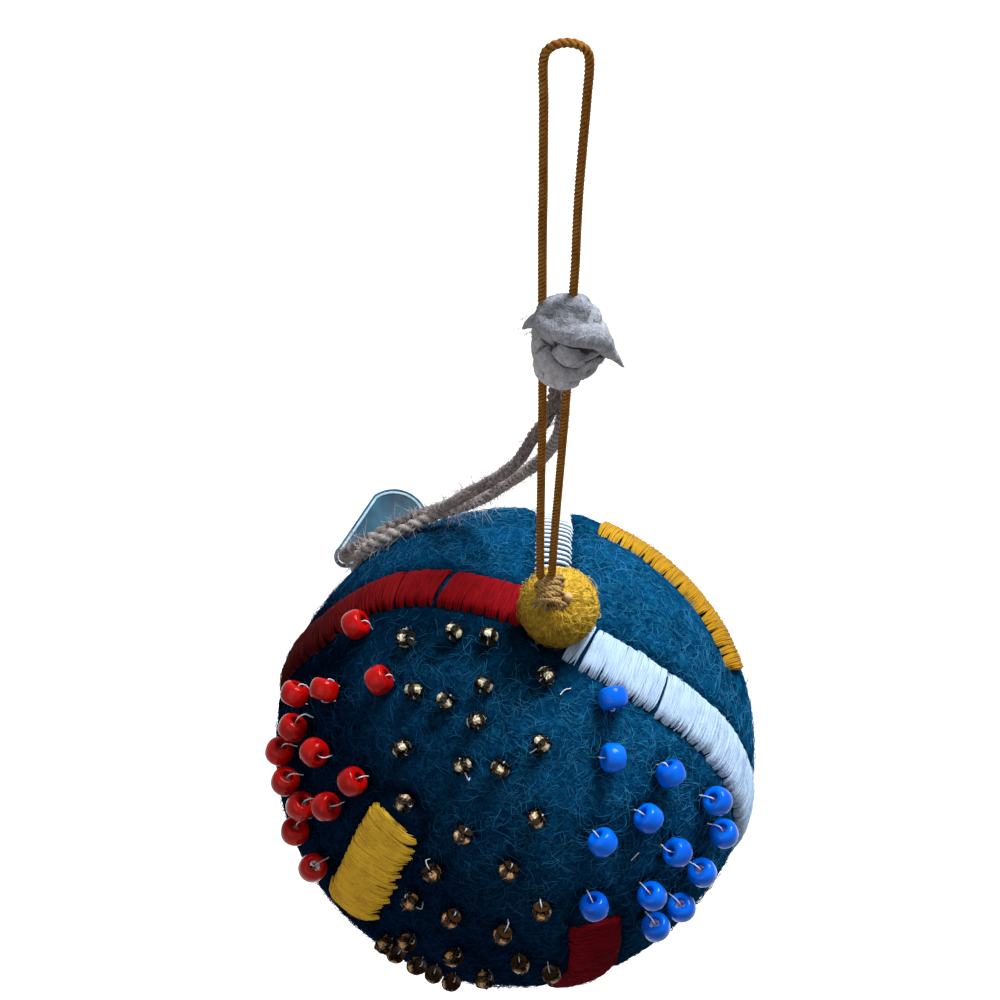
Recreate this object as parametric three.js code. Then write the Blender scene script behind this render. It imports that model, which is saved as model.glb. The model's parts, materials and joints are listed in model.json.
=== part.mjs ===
// A Christmas ornament: a wool felt ball with satin stitched bands and sewn beads. It hangs from a
// golden cord loop that is hitched onto a small felt pompom, and a yarn with a tag hangs down its back.
// Millimetres, +Z up, the photographed front faces -Y, and the origin is at the top of the loop.

import * as THREE from 'three';

// Driving dimensions.
const seatGap = 0.3; // between pieces that touch

const ballRadius = 30; // outside of the felt
const feltWall = 4;

const pompomRadius = 4.5;
const pompomSinkDepth = 0.5; // pressed into the ball
const pompomLon = 83;
const pompomLat = 81.5;

const threadRadius = 0.5; // the thread that ties the pompom down
const threadKnotRadius = 1.1;
const socketDropDepth = 1.8; // from the pompom's middle down to the top of the thread's socket

const cordRadius = 0.5; // golden cord
const wrapRadius = 0.4; // the same cord pulled tight in the hitch
const hitchTurns = 3;
const hitchGap = 0.45; // between turns of the hitch
const hitchCoilRadius = 1.1;
const hitchRiseHeight = 1.6; // the cord stands up this much at the hitch's rear end
const hitchLeadDepth = 1.3; // and goes down this much into the pompom at its front end
const hitchLon = -34; // where the hitch sits, seen from the middle of the pompom
const hitchLat = 71;

const legLength = 50;
const legTipLiftHeight = 0.25; // from a leg's end face up to the point it swings about
const swingClearance = 0.6; // from that point down to the hitch
const legTopSpacing = 3.1; // between the two legs at the top
const footShiftWidth = 0.5; // the legs' feet stand this much to the right of the hitch's rear end
const waistShiftWidth = 0.55; // the legs lean this much to the right on their way up

const woolRadius = 0.65; // the grey wool that is wound round both legs
const woolTurns = 6.5;
const woolGap = 0.45; // between turns of the wool
const woolSlackGap = 0.25; // between the wool and the legs
const woolBulgeWidth = 2.2; // the middle turns bulge this much to the right
const woolEndDepth = 2.2; // from the legs to the middle of the wool behind them, at its ends
const woolMiddleDepth = 3;
const woolTailLength = 2.8;
const woolTailTurn = -50; // the upper tail points to the front left, the lower one to the front right
const woolTailDrop = -35;

const yarnRadius = 0.65;

const tagLength = 7.6; // from the hole to the middle of the round end
const tagEndRadius = 4.6;
const tagHoleEndRadius = 1.7;
const tagThickness = 1;
const tagHoleClearance = 0.35;
const tagTurn = 34; // how far the tag leans from the horizontal
const tagTilt = 60; // elevation of the tag's face

const redWidth = 5.8;
const whiteWidth = 6.4;
const silverWidth = 4.4;
const yellowWidth = 7.4;
const darkRedWidth = 6.6;
const besideRedGap = 2.5; // the silver band starts this much further out, clear of the red one
const threadBedHeight = 0.9; // height of the satin stitches
const stitchEdgeHeight = 0.45; // their height at a band's edges

const beadRadius = 1.75;
const beadHalfLength = 1.4;
const beadHoleRadius = 0.7;
const goldBeadRadius = 0.95;
const goldBeadHalfLength = 0.8;
const goldBeadHoleRadius = 0.3;

// Facets.
const ballSides = 32;
const ballSteps = 18;
const coreSides = 24;
const coreSteps = 14;
const linerSteps = 12; // of the cover's inside
const pompomSides = 20;
const pompomSteps = 12;
const threadSides = 8;
const threadSteps = 6;
const cordSides = 8;
const legSteps = 16;
const upperLoopSteps = 40;
const yarnSteps = 80;
const woundSides = 6;
const turnSteps = 24; // in one turn of a wound cord
const bandFacetLength = 3;
const beadSides = 10;
const goldBeadSides = 8;
const tagCurveSteps = 16;

const rad = THREE.MathUtils.degToRad;

// A direction from the ball's middle: longitude from the front towards the right, then latitude.
function toward(lon, lat) {
  const out = Math.cos(rad(lat));
  return new THREE.Vector3(out * Math.sin(rad(lon)), -out * Math.cos(rad(lon)), Math.sin(rad(lat)));
}

// Turns a shape's faces outwards.
function outward(geometry) {
  const solid = geometry.index ? geometry.toNonIndexed() : geometry;
  const p = solid.attributes.position;
  const [a, b, c] = [new THREE.Vector3(), new THREE.Vector3(), new THREE.Vector3()];
  let volume = 0;
  for (let i = 0; i < p.count; i += 3) {
    a.fromBufferAttribute(p, i);
    b.fromBufferAttribute(p, i + 1);
    c.fromBufferAttribute(p, i + 2);
    volume += a.dot(b.cross(c));
  }
  if (volume > 0) return geometry;
  const flipped = [];
  for (let i = 0; i < p.count; i += 3) {
    for (const j of [i, i + 2, i + 1]) flipped.push(p.getX(j), p.getY(j), p.getZ(j));
  }
  const result = new THREE.BufferGeometry();
  result.setAttribute('position', new THREE.Float32BufferAttribute(flipped, 3));
  return result;
}

// A turned solid. Profile points are [radius, height along the axis], and the axis starts at a place.
function turned(profile, segments, axis, start = new THREE.Vector3()) {
  const points = profile.map(([r, h]) => new THREE.Vector2(r, h));
  const geometry = new THREE.LatheGeometry(points, segments);
  geometry.applyQuaternion(new THREE.Quaternion().setFromUnitVectors(new THREE.Vector3(0, 1, 0), axis));
  geometry.translate(start.x, start.y, start.z);
  return outward(geometry);
}

// Points on an arc round a centre on the axis, from one angle to another, measured from the equator.
function arc(radius, centre, from, to, steps) {
  return Array.from({ length: steps + 1 }, (_, i) => {
    const angle = from + ((to - from) * i) / steps;
    return [radius * Math.cos(angle), centre + radius * Math.sin(angle)];
  });
}

// A cord along a hand-placed route.
function cord(route, radius, steps) {
  const section = new THREE.Shape(
    Array.from({ length: cordSides }, (_, i) => {
      const angle = (2 * Math.PI * i) / cordSides;
      return new THREE.Vector2(radius * Math.cos(angle), radius * Math.sin(angle));
    }),
  );
  const path = new THREE.CatmullRomCurve3(route, false, 'centripetal');
  return outward(new THREE.ExtrudeGeometry(section, { steps, bevelEnabled: false, extrudePath: path }));
}

// Joins rings of as many points each into one closed body with flat ends.
function joined(rings) {
  const count = rings[0].length;
  const position = rings.flat().flatMap((v) => [v.x, v.y, v.z]);
  const index = [];
  for (let r = 0; r + 1 < rings.length; r++) {
    for (let i = 0; i < count; i++) {
      const a = r * count + i;
      const b = r * count + ((i + 1) % count);
      index.push(a, b, a + count, b, b + count, a + count);
    }
  }
  const last = (rings.length - 1) * count;
  for (let i = 1; i + 1 < count; i++) {
    index.push(0, i + 1, i, last, last + i, last + i + 1);
  }
  const geometry = new THREE.BufferGeometry();
  geometry.setAttribute('position', new THREE.Float32BufferAttribute(position, 3));
  geometry.setIndex(index);
  return outward(geometry);
}

// A wound cord: an unbroken tube through the points of its own centre line.
function wound(line, radius) {
  let side = new THREE.Vector3(0, 0, 1);
  return joined(
    line.map((point, i) => {
      const ahead = line[Math.min(i + 1, line.length - 1)];
      const along = ahead.clone().sub(line[Math.max(i - 1, 0)]).normalize();
      side = side.clone().addScaledVector(along, -side.dot(along)).normalize();
      const other = along.clone().cross(side);
      return Array.from({ length: woundSides }, (_, k) => {
        const angle = (2 * Math.PI * k) / woundSides;
        return point
          .clone()
          .addScaledVector(side, radius * Math.cos(angle))
          .addScaledVector(other, radius * Math.sin(angle));
      });
    }),
  );
}

// The least gap between two turns of a wound cord.
function leastGap(line, radius) {
  const apart = turnSteps / 2;
  let least = Infinity;
  for (let i = 0; i < line.length; i++) {
    for (let j = i + apart; j < line.length; j++) least = Math.min(least, line[i].distanceTo(line[j]));
  }
  return least - 2 * radius;
}

// A satin stitched band: a low, rounded bed of thread that follows a line on the ball.
function band(places, width, startRadius) {
  const points = places.map(([lon, lat]) => toward(lon, lat));
  const route = new THREE.CatmullRomCurve3(points, false, 'centripetal');
  const length = route.getLength() * ballRadius;
  const trim = startRadius / length;
  const steps = Math.ceil((length - startRadius) / bandFacetLength);
  const low = ballRadius + seatGap;
  const acrossShares = [-1, -0.6, 0, 0.6, 1];
  const rings = Array.from({ length: steps + 1 }, (_, i) => {
    const at = 1 - ((1 - trim) * (steps - i)) / steps;
    const out = route.getPointAt(at).normalize();
    const along = route.getTangentAt(at);
    const side = along.clone().cross(out).normalize();
    const place = (share, radius) => {
      const angle = (share * width) / 2 / ballRadius;
      const aside = side.clone().multiplyScalar(Math.sin(angle));
      return aside.addScaledVector(out, Math.cos(angle)).multiplyScalar(radius);
    };
    const crown = threadBedHeight - stitchEdgeHeight;
    const top = (share) => low + stitchEdgeHeight + crown * Math.sqrt(1 - share * share);
    return [
      ...acrossShares.map((share) => place(share, top(share))),
      ...acrossShares.toReversed().map((share) => place(share, low)),
    ];
  });
  return joined(rings);
}

// A bead lies on the felt with its hole along the surface, turned by an angle.
function bead([lon, lat, turn], radius, profile, sides) {
  const out = toward(lon, lat);
  const east = toward(lon + 90, 0);
  const north = out.clone().cross(east);
  const axis = east.multiplyScalar(Math.cos(rad(turn))).addScaledVector(north, Math.sin(rad(turn)));
  const middle = out.multiplyScalar(ballRadius + seatGap + radius);
  return turned(profile, sides, axis.normalize(), middle);
}

function roundBead(place) {
  const lipRadius = (beadRadius + beadHoleRadius) / 2;
  const shoulderShare = 0.45;
  const lipShare = 0.8;
  const profile = [
    [beadHoleRadius, -beadHalfLength * lipShare],
    [lipRadius, -beadHalfLength],
    [beadRadius, -beadHalfLength * shoulderShare],
    [beadRadius, beadHalfLength * shoulderShare],
    [lipRadius, beadHalfLength],
    [beadHoleRadius, beadHalfLength * lipShare],
    [beadHoleRadius, -beadHalfLength * lipShare],
  ];
  return bead(place, beadRadius, profile, beadSides);
}

function goldBead(place) {
  const profile = [
    [goldBeadHoleRadius, -goldBeadHalfLength],
    [goldBeadRadius, -goldBeadHalfLength],
    [goldBeadRadius, goldBeadHalfLength],
    [goldBeadHoleRadius, goldBeadHalfLength],
    [goldBeadHoleRadius, -goldBeadHalfLength],
  ];
  return bead(place, goldBeadRadius, profile, goldBeadSides);
}

// Finishes.
function finish(color, roughness, metalness = 0) {
  return new THREE.MeshStandardMaterial({ color, roughness, metalness });
}
const tealFelt = finish('#123c4a', 0.95);
const packedWool = finish('#d8d2c4', 0.95);
const ochreFelt = finish('#b8861c', 0.95);
const goldCord = finish('#8a5a18', 0.8);
const greyWool = finish('#8d8b8e', 0.95);
const brownYarn = finish('#6e625c', 0.95);
const ochreThread = finish('#8a6420', 0.7);
const redThread = finish('#a5121c', 0.6);
const darkRedThread = finish('#6e0e1a', 0.6);
const whiteThread = finish('#dfe6e8', 0.6);
const yellowThread = finish('#d8a81e', 0.6);
const silverThread = finish('#cfd8dc', 0.35, 0.8);
const redGlass = finish('#c01818', 0.15);
const blueGlass = finish('#0f62c8', 0.15);
const goldGlass = finish('#9a7430', 0.2, 0.4);
const blueTag = finish('#1c4a66', 0.2);

const ornament = new THREE.Group();
const assembly = new THREE.Group();
ornament.add(assembly);

function add(name, geometry, material) {
  const mesh = new THREE.Mesh(geometry, material);
  mesh.name = name;
  assembly.add(mesh);
}

// The ball: a packed core with a pocket for the thread's knot, and a felt cover round it. The cover is
// open where the needle went in, under the pompom.
const pole = toward(pompomLon, pompomLat);
const coverInside = ballRadius - feltWall;
const coreRadius = coverInside - seatGap;
const pocketRadius = threadKnotRadius + seatGap;
const pocketFloor = coreRadius - 2 * threadKnotRadius - 2 * seatGap;
const channelRadius = threadRadius + seatGap;
const channelTop = Math.acos(channelRadius / ballRadius);
const channelEnd = Math.acos(channelRadius / coverInside);
const pocketEdge = Math.acos(pocketRadius / coreRadius);

const coreProfile = [
  ...arc(coreRadius, 0, -Math.PI / 2, pocketEdge, coreSteps),
  [pocketRadius, pocketFloor],
  [0, pocketFloor],
];
add('core_ball', turned(coreProfile, coreSides, pole), packedWool);

const coverProfile = [
  ...arc(ballRadius, 0, -Math.PI / 2, channelTop, ballSteps),
  ...arc(coverInside, 0, channelEnd, -Math.PI / 2, linerSteps),
];
add('felt_cover', turned(coverProfile, ballSides, pole), tealFelt);

// The pompom is a little felt ball pressed flat against the big one, over the thread that holds it.
const pompomRise = ballRadius + pompomRadius - pompomSinkDepth;
const pompomSeat = ballRadius + seatGap;
const socketRadius = threadRadius + seatGap;
const socketTop = pompomRise - socketDropDepth;
const rimHeight = (pompomSeat ** 2 + pompomRise ** 2 - pompomRadius ** 2) / (2 * pompomRise);
const rimAngle = Math.asin((rimHeight - pompomRise) / pompomRadius);
const seatFrom = Math.acos(socketRadius / pompomSeat);
const seatTo = Math.asin(rimHeight / pompomSeat);
const pompomProfile = [
  [0, socketTop],
  [socketRadius, socketTop],
  ...arc(pompomSeat, 0, seatFrom, seatTo, 2),
  ...arc(pompomRadius, pompomRise, rimAngle, Math.PI / 2, pompomSteps).slice(1),
];
add('pompom', turned(pompomProfile, pompomSides, pole), ochreFelt);

const knotCentre = pocketFloor + seatGap + threadKnotRadius;
const knotNeck = Math.acos(threadRadius / threadKnotRadius);
const threadProfile = [
  ...arc(threadKnotRadius, knotCentre, -Math.PI / 2, knotNeck, threadSteps),
  [threadRadius, socketTop - seatGap],
  [0, socketTop - seatGap],
];
add('anchor_thread', turned(threadProfile, threadSides, pole), ochreThread);

// The hitch: the cord's turns round its own tail, lying on the pompom's crown. Its rear end stands up
// towards the left leg, and its front end goes down into the felt.
const pompomMiddle = pole.clone().multiplyScalar(pompomRise);
const hitchOut = toward(hitchLon, hitchLat);
const hitchSeat = pompomRadius + seatGap + wrapRadius + hitchCoilRadius;
const hitchPitch = 2 * wrapRadius + hitchGap;
const hitchMiddle = pompomMiddle.clone().addScaledVector(hitchOut, hitchSeat);
const hitchAxis = new THREE.Vector3(0, 1, 0).projectOnPlane(hitchOut).normalize();
const hitchSide = hitchAxis.clone().cross(hitchOut);
const hitchLine = [];
for (let i = 0; i <= hitchTurns * turnSteps; i++) {
  const turn = i / turnSteps;
  const angle = Math.PI - 2 * Math.PI * turn;
  hitchLine.push(
    hitchMiddle
      .clone()
      .addScaledVector(hitchAxis, (turn - hitchTurns / 2) * hitchPitch)
      .addScaledVector(hitchSide, hitchCoilRadius * Math.cos(angle))
      .addScaledVector(hitchOut, hitchCoilRadius * Math.sin(angle)),
  );
}
hitchLine.unshift(hitchLine[0].clone().addScaledVector(hitchOut, -hitchLeadDepth));
hitchLine.push(hitchLine[hitchLine.length - 1].clone().addScaledVector(hitchOut, hitchRiseHeight));
console.log('least gap in the hitch', leastGap(hitchLine, wrapRadius).toFixed(2));
add('cord_hitch', wound(hitchLine, wrapRadius), goldCord);

// The legs: the two ends of the loop, from the hitch up through the grey wool.
const legFootSpread = 2 * cordRadius + seatGap;
const hitchTop = hitchLine[hitchLine.length - 1];
const swingPoint = hitchTop
  .clone()
  .add(new THREE.Vector3(legFootSpread / 2 + footShiftWidth, 0, 0))
  .addScaledVector(hitchOut, swingClearance);
const waist = swingPoint.clone().add(new THREE.Vector3(waistShiftWidth, 0, legLength));

// How far each leg bows aside on its way up, from its foot to its top.
const legBowShares = [0, -0.01, 0.01, 0.03, 0.02, 0];
for (const [name, way] of [['cord_leg_left', -1], ['cord_leg_right', 1]]) {
  const foot = swingPoint.clone().add(new THREE.Vector3((way * legFootSpread) / 2, 0, -legTipLiftHeight));
  const top = waist.clone().add(new THREE.Vector3((way * legTopSpacing) / 2, 0, 0));
  const route = legBowShares.map((bow, i) => {
    const point = foot.clone().lerp(top, i / (legBowShares.length - 1));
    return point.add(new THREE.Vector3(bow * legTopSpacing, 0, 0));
  });
  add(name, cord(route, cordRadius, legSteps), goldCord);
}

// The upper loop, from the top of the left leg over to the top of the right one, seen from the front
// and measured from the middle of the waist.
const loopRoute = [
  [-1.55, 0, 0.3], [-1.6, 0, 6], [-1.65, 0, 12], [-1.65, 0, 18], [-1.7, 0, 24], [-1.75, 0, 31],
  [-1.8, 0, 36.7], [-1.52, 0, 37.75], [-0.75, 0, 38.52], [0.3, 0, 38.8], [1.35, 0, 38.52],
  [2.12, 0, 37.75], [2.4, 0, 36.7], [2.3, 0, 31], [2.05, 0, 24], [1.85, 0, 18], [1.75, 0, 12],
  [1.7, 0, 6], [1.55, 0, 0.3],
].map((place) => new THREE.Vector3(...place).add(waist));
add('hanging_loop', cord(loopRoute, cordRadius, upperLoopSteps), goldCord);

// The grey wool: wound round both legs, fuller on the right, with its two cut ends standing off.
const woolPitch = 2 * woolRadius + woolGap;
const woolSide = legTopSpacing / 2 + cordRadius + woolSlackGap + woolRadius;
const woolLine = [];
const woolSteps = woolTurns * turnSteps;
for (let i = 0; i <= woolSteps; i++) {
  const angle = (2 * Math.PI * i) / turnSteps;
  const fullness = Math.sin((Math.PI * i) / woolSteps);
  const bulge = (woolBulgeWidth / 2) * fullness;
  const depth = woolEndDepth + (woolMiddleDepth - woolEndDepth) * fullness;
  const height = (woolPitch * (i - woolSteps)) / turnSteps - woolRadius;
  const across = bulge + (woolSide + bulge) * Math.cos(angle);
  woolLine.push(new THREE.Vector3(across, depth * Math.sin(angle), height).add(waist));
}
const woolTail = toward(woolTailTurn, woolTailDrop).multiplyScalar(woolTailLength);
woolLine.unshift(woolLine[0].clone().add(new THREE.Vector3(-woolTail.x, woolTail.y, woolTail.z)));
woolLine.push(woolLine[woolLine.length - 1].clone().add(woolTail));
console.log('least gap in the wool', leastGap(woolLine, woolRadius).toFixed(2));
add('wool_knot', wound(woolLine, woolRadius), greyWool);

// The brown yarn: down from the wool, over the ball's left shoulder, through the tag and back. The
// places are measured from the middle of the ball.
const yarnRoute = [
  [3.3, 1.1, 79.4], [3.1, 1.3, 76], [2.6, 1.9, 70.5], [1.7, 3.2, 63.5], [-0.2, 5.8, 54], [-3.2, 9.7, 44.5],
  [-5.8, 14.2, 35.5], [-8.6, 19.2, 25.6], [-11.9, 22.3, 19.2], [-15.4, 23, 15.6], [-18.7, 22.2, 13.4],
  [-21, 22.8, 10.2], [-21.9, 25, 6.1], [-22.1, 26.9, 2.8], [-22.1, 27.9, 1.1], [-22.1, 28.7, -0.3],
  [-21.7, 29.2, -2], [-20.8, 28.7, -3], [-19.8, 27.5, -3.1], [-19.4, 26.2, -1.9], [-19.4, 25.3, -0.4],
  [-19.6, 23.7, 3.4], [-19.8, 21.4, 9.1], [-19.3, 19.5, 14.7], [-17.3, 18.8, 18.1], [-13.4, 19.6, 20.3],
  [-9.4, 20, 22.6], [-5.2, 18.4, 27.4], [-1, 13.6, 38.6], [2.3, 8.7, 50.2], [4, 5.1, 59.8],
  [4.8, 2.8, 68.4], [5.1, 1.6, 75], [5, 1.2, 79.4],
].map((place) => new THREE.Vector3(...place));
add('tag_yarn', cord(yarnRoute, yarnRadius, yarnSteps), brownYarn);

// The tag: a flat drop shape with a hole for the yarn at its narrow end.
const tagHole = yarnRoute[14];
const tagFace = toward(0, tagTilt);
const tagRight = new THREE.Vector3(1, 0, 0);
const tagUp = tagFace.clone().cross(tagRight);
const flank = Math.acos((tagHoleEndRadius - tagEndRadius) / tagLength);
const outline = new THREE.Shape();
outline.absarc(tagLength, 0, tagEndRadius, -Math.PI + flank, Math.PI - flank, false);
outline.absarc(0, 0, tagHoleEndRadius, Math.PI - flank, Math.PI + flank, false);
const holePath = new THREE.Path();
holePath.absarc(0, 0, yarnRadius + tagHoleClearance, 0, 2 * Math.PI, true);
outline.holes.push(holePath);
const tagSolid = new THREE.ExtrudeGeometry(outline, {
  depth: tagThickness,
  bevelEnabled: false,
  curveSegments: tagCurveSteps,
});
tagSolid.translate(0, 0, -tagThickness / 2);
tagSolid.rotateZ(rad(tagTurn));
tagSolid.applyMatrix4(new THREE.Matrix4().makeBasis(tagRight, tagUp, tagFace).setPosition(tagHole));
add('tag', outward(tagSolid), blueTag);

// The bands, as longitude and latitude in degrees along their middle lines. Those that come out from
// under the pompom start where it ends.
const threadTop = pompomSeat + threadBedHeight;
const pompomFoot = Math.sqrt(pompomRadius ** 2 - (pompomRise - threadTop) ** 2) + seatGap;
const underPompom = [pompomLon, pompomLat];
const bands = [
  ['band_red', redThread, redWidth, pompomFoot, [
    underPompom, [170, 86], [-132, 79], [-121, 67], [-115, 54], [-109, 44], [-105, 34], [-105, 22],
    [-106, 11], [-108, -1], [-111, -13], [-114, -25],
  ]],
  ['band_white', whiteThread, whiteWidth, pompomFoot, [
    underPompom, [70, 72], [70, 62], [70, 52], [71, 42], [72, 30], [72, 18], [72, 6], [73, -6], [74, -18],
    [75, -28],
  ]],
  ['band_silver', silverThread, silverWidth, pompomFoot + besideRedGap, [
    underPompom, [143, 76], [154, 70], [161, 61], [165, 51], [168, 40], [171, 28], [173, 16], [174, 4],
    [175, -8],
  ]],
  ['band_yellow_upper', yellowThread, yellowWidth, 0, [
    [152, 40], [144, 39], [136, 37], [128, 35], [120, 32], [112, 28], [105, 25], [99, 22],
  ]],
  ['band_yellow_lower', yellowThread, yellowWidth, 0, [
    [-35, 35], [-37, 27], [-38, 19], [-40, 9], [-43, -2],
  ]],
  ['band_dark_red', darkRedThread, darkRedWidth, 0, [
    [19, 12], [19, 6], [19, -1], [19, -9], [18, -17], [17, -25], [15, -33],
  ]],
];
for (const [name, material, width, start, places] of bands) {
  add(name, band(places, width, start), material);
}

// The beads: longitude, latitude and the turn of the hole, in degrees.
const redBeads = [
  [-96, 53, 100], [-68, 57, 85], [-78, 43, 140], [-84, 33, 125], [-76, 30, 105], [-75, 22, 95],
  [-68, 20, 90], [-65, 34, 25], [-50, 38, 65], [-60, 21, 80], [-53, 28, 50], [-59, 13, 95], [-51, 9, 70],
  [-69, -39, -140],
];
const blueBeads = [
  [49, 62, 55], [49, 41, 80], [35, 52, 150], [37, 36, 115], [57, 26, 115], [23, 36, 110], [41, 24, 135],
  [55, 17, 95], [32, 17, 110], [46, 13, 105], [18, 21, 100], [39, 7, 100], [32, 6, 100],
];
const goldBeads = [
  [-83, 65, 70], [-75, 76, 125], [-47, 82, 125], [24, 74, 15], [-23, 72, 80], [-55, 62, 140],
  [-39, 65, 85], [-20, 64, 125], [11, 60, 35], [-43, 51, -20], [-20, 54, -50], [-6, 55, 65],
  [-34, 41, 0], [6, 44, 25], [-15, 39, 70], [-21, 28, -45],
];
const number = (i) => String(i + 1).padStart(2, '0');
redBeads.forEach((place, i) => add(`red_bead_${number(i)}`, roundBead(place), redGlass));
blueBeads.forEach((place, i) => add(`blue_bead_${number(i)}`, roundBead(place), blueGlass));
goldBeads.forEach((place, i) => add(`gold_bead_${number(i)}`, goldBead(place), goldGlass));

// The top of the loop is the origin.
const loopTop = loopRoute[9];
assembly.position.copy(loopTop).negate();

export default ornament;
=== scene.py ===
import json
import math

import bpy
import numpy as np
from mathutils import Matrix, Vector, noise


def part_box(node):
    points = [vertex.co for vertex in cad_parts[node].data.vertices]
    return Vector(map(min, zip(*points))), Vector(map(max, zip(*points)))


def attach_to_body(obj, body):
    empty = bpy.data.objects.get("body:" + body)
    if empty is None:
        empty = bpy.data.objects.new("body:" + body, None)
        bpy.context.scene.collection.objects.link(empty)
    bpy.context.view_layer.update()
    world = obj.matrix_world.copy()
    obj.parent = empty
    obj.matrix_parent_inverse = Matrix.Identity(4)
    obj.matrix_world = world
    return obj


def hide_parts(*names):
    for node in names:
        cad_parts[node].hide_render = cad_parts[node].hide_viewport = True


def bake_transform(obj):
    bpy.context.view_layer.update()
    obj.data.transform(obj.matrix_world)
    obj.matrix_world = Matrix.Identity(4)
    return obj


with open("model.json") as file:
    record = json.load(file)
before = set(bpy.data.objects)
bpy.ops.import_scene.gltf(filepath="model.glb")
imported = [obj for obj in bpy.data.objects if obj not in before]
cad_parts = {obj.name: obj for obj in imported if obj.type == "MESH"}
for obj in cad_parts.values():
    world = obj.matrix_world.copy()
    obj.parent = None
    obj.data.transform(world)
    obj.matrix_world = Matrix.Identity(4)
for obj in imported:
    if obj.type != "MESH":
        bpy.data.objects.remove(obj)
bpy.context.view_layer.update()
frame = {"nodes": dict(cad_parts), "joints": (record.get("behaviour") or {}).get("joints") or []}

# A felt Christmas ornament on a cord loop: a wool felt ball with satin stitched bands and sewn beads,
# a little felt pompom, a wound wool knot, and a yarn with a tag. The top of the loop is at the origin.

mm = 0.001
scene = bpy.context.scene
dice = np.random.default_rng(24)


def boxMiddle(node):
    low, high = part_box(node)
    return np.array((low + high) / 2)


ballCentre = boxMiddle("felt_cover")
ballRadius = 30 * mm
jointPlace = {joint["name"]: np.array(joint["pos_m"]) for joint in frame["joints"]}


# Directions and lines

def toward(lon, lat):
    # from the middle of the ball: longitude from the front towards the right, then latitude
    lon, lat = math.radians(lon), math.radians(lat)
    return np.array([math.cos(lat) * math.sin(lon), -math.cos(lat) * math.cos(lon), math.sin(lat)])


def unit(vectors):
    return vectors / np.linalg.norm(vectors, axis=-1, keepdims=True)


def runAlong(line):
    # how far along the line each of its points is
    return np.concatenate([[0], np.cumsum(np.linalg.norm(np.diff(line, axis=0), axis=1))])


def lineLength(line):
    return float(np.linalg.norm(np.diff(line, axis=0), axis=1).sum())


def evenly(line, spacing):
    run = runAlong(line)
    at = np.linspace(0, run[-1], max(2, round(run[-1] / spacing) + 1))
    return np.column_stack([np.interp(at, run, line[:, axis]) for axis in range(3)])


def stretched(values, count):
    # a few values, spread evenly over many points
    return np.interp(np.linspace(0, 1, count), np.linspace(0, 1, len(values)), values)


def smoothLine(places, spacing):
    # a smooth line through given points, cut into even steps
    pointsBetween = 24
    p = np.array([list(place) for place in places], float)
    p = np.vstack([2 * p[0] - p[1], p, 2 * p[-1] - p[-2]])
    t = np.linspace(0, 1, pointsBetween, endpoint=False)[:, None]
    line = []
    for a, b, c, d in zip(p, p[1:], p[2:], p[3:]):
        ab, bc, cd = (np.linalg.norm(v) ** 0.5 for v in (b - a, c - b, d - c))
        leave = ((b - a) / ab - (c - a) / (ab + bc) + (c - b) / bc) * bc
        arrive = ((c - b) / bc - (d - b) / (bc + cd) + (d - c) / cd) * bc
        line.append(
            (2 * t**3 - 3 * t**2 + 1) * b + (t**3 - 2 * t**2 + t) * leave
            + (3 * t**2 - 2 * t**3) * c + (t**3 - t**2) * arrive
        )
    return evenly(np.vstack([*line, p[-2]]), spacing)


def bell(distance, height, reach, sharpness=2):
    # as high as this in the middle, fading away at about the reach
    return height * np.exp(-((distance / reach) ** sharpness))


def lumps(places, layers):
    # soft lumps at each place, from layers of noise: the height of each, then its scale
    return np.array([
        sum(high * noise.noise(Vector(place) * scale) for high, scale in layers)
        for place in places
    ])


pompom = {
    "radius": 4.5 * mm, "sink": 0.5 * mm, "lon": 83, "lat": 81.5, "foot": 0.25 * mm,
    "lumps": [(0.16, 2.2), (0.1, 6), (0.06, 15)],
    "hairs": 3600, "hairLength": 3.4 * mm, "hairLift": 0.2 * mm, "hairCurl": 1.1, "hairThickness": 0.034 * mm,
    "hairFoot": 0.2 * mm,
}
pole = toward(pompom["lon"], pompom["lat"])
pompomMiddle = ballCentre + pole * (ballRadius + pompom["radius"] - pompom["sink"])
waist = -np.array([0.3, 0, 38.8]) * mm
swing = jointPlace["ball_swing"]


# Objects and their points

def selectOnly(*pieces):
    bpy.ops.object.select_all(action="DESELECT")
    for piece in pieces:
        piece.select_set(True)
    bpy.context.view_layer.objects.active = pieces[0]


def newPiece(name, data, material):
    piece = bpy.data.objects.new(name, data)
    scene.collection.objects.link(piece)
    piece.data.materials.append(material)
    return piece


def newBall(name, radius, subdivisions, centre=(0, 0, 0)):
    bpy.ops.object.select_all(action="DESELECT")
    bpy.ops.mesh.primitive_ico_sphere_add(subdivisions=subdivisions, radius=radius, location=centre)
    ball = bpy.context.object
    ball.name = name
    bpy.ops.object.transform_apply(location=True)
    bpy.ops.object.shade_smooth()
    return ball


def addModifier(piece, name, kind, **settings):
    modifier = piece.modifiers.new(name, kind)
    for key, value in settings.items():
        setattr(modifier, key, value)


def applyAll(piece):
    selectOnly(piece)
    for modifier in list(piece.modifiers):
        bpy.ops.object.modifier_apply(modifier=modifier.name)


def copyOf(model, name, matrix):
    piece = model.copy()
    piece.data = model.data.copy()
    piece.name = name
    piece.data.name = name
    scene.collection.objects.link(piece)
    piece.data.transform(matrix)
    return piece


def attach(piece, body, slot, *replaced):
    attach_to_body(piece, body)
    if replaced:
        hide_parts(*replaced)


def pointsOf(mesh, what="co"):
    values = np.empty(len(mesh.vertices) * 3)
    mesh.vertices.foreach_get(what, values)
    return values.reshape(-1, 3)


def movePoints(mesh, points):
    mesh.vertices.foreach_set("co", points.ravel())
    mesh.update()


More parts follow.
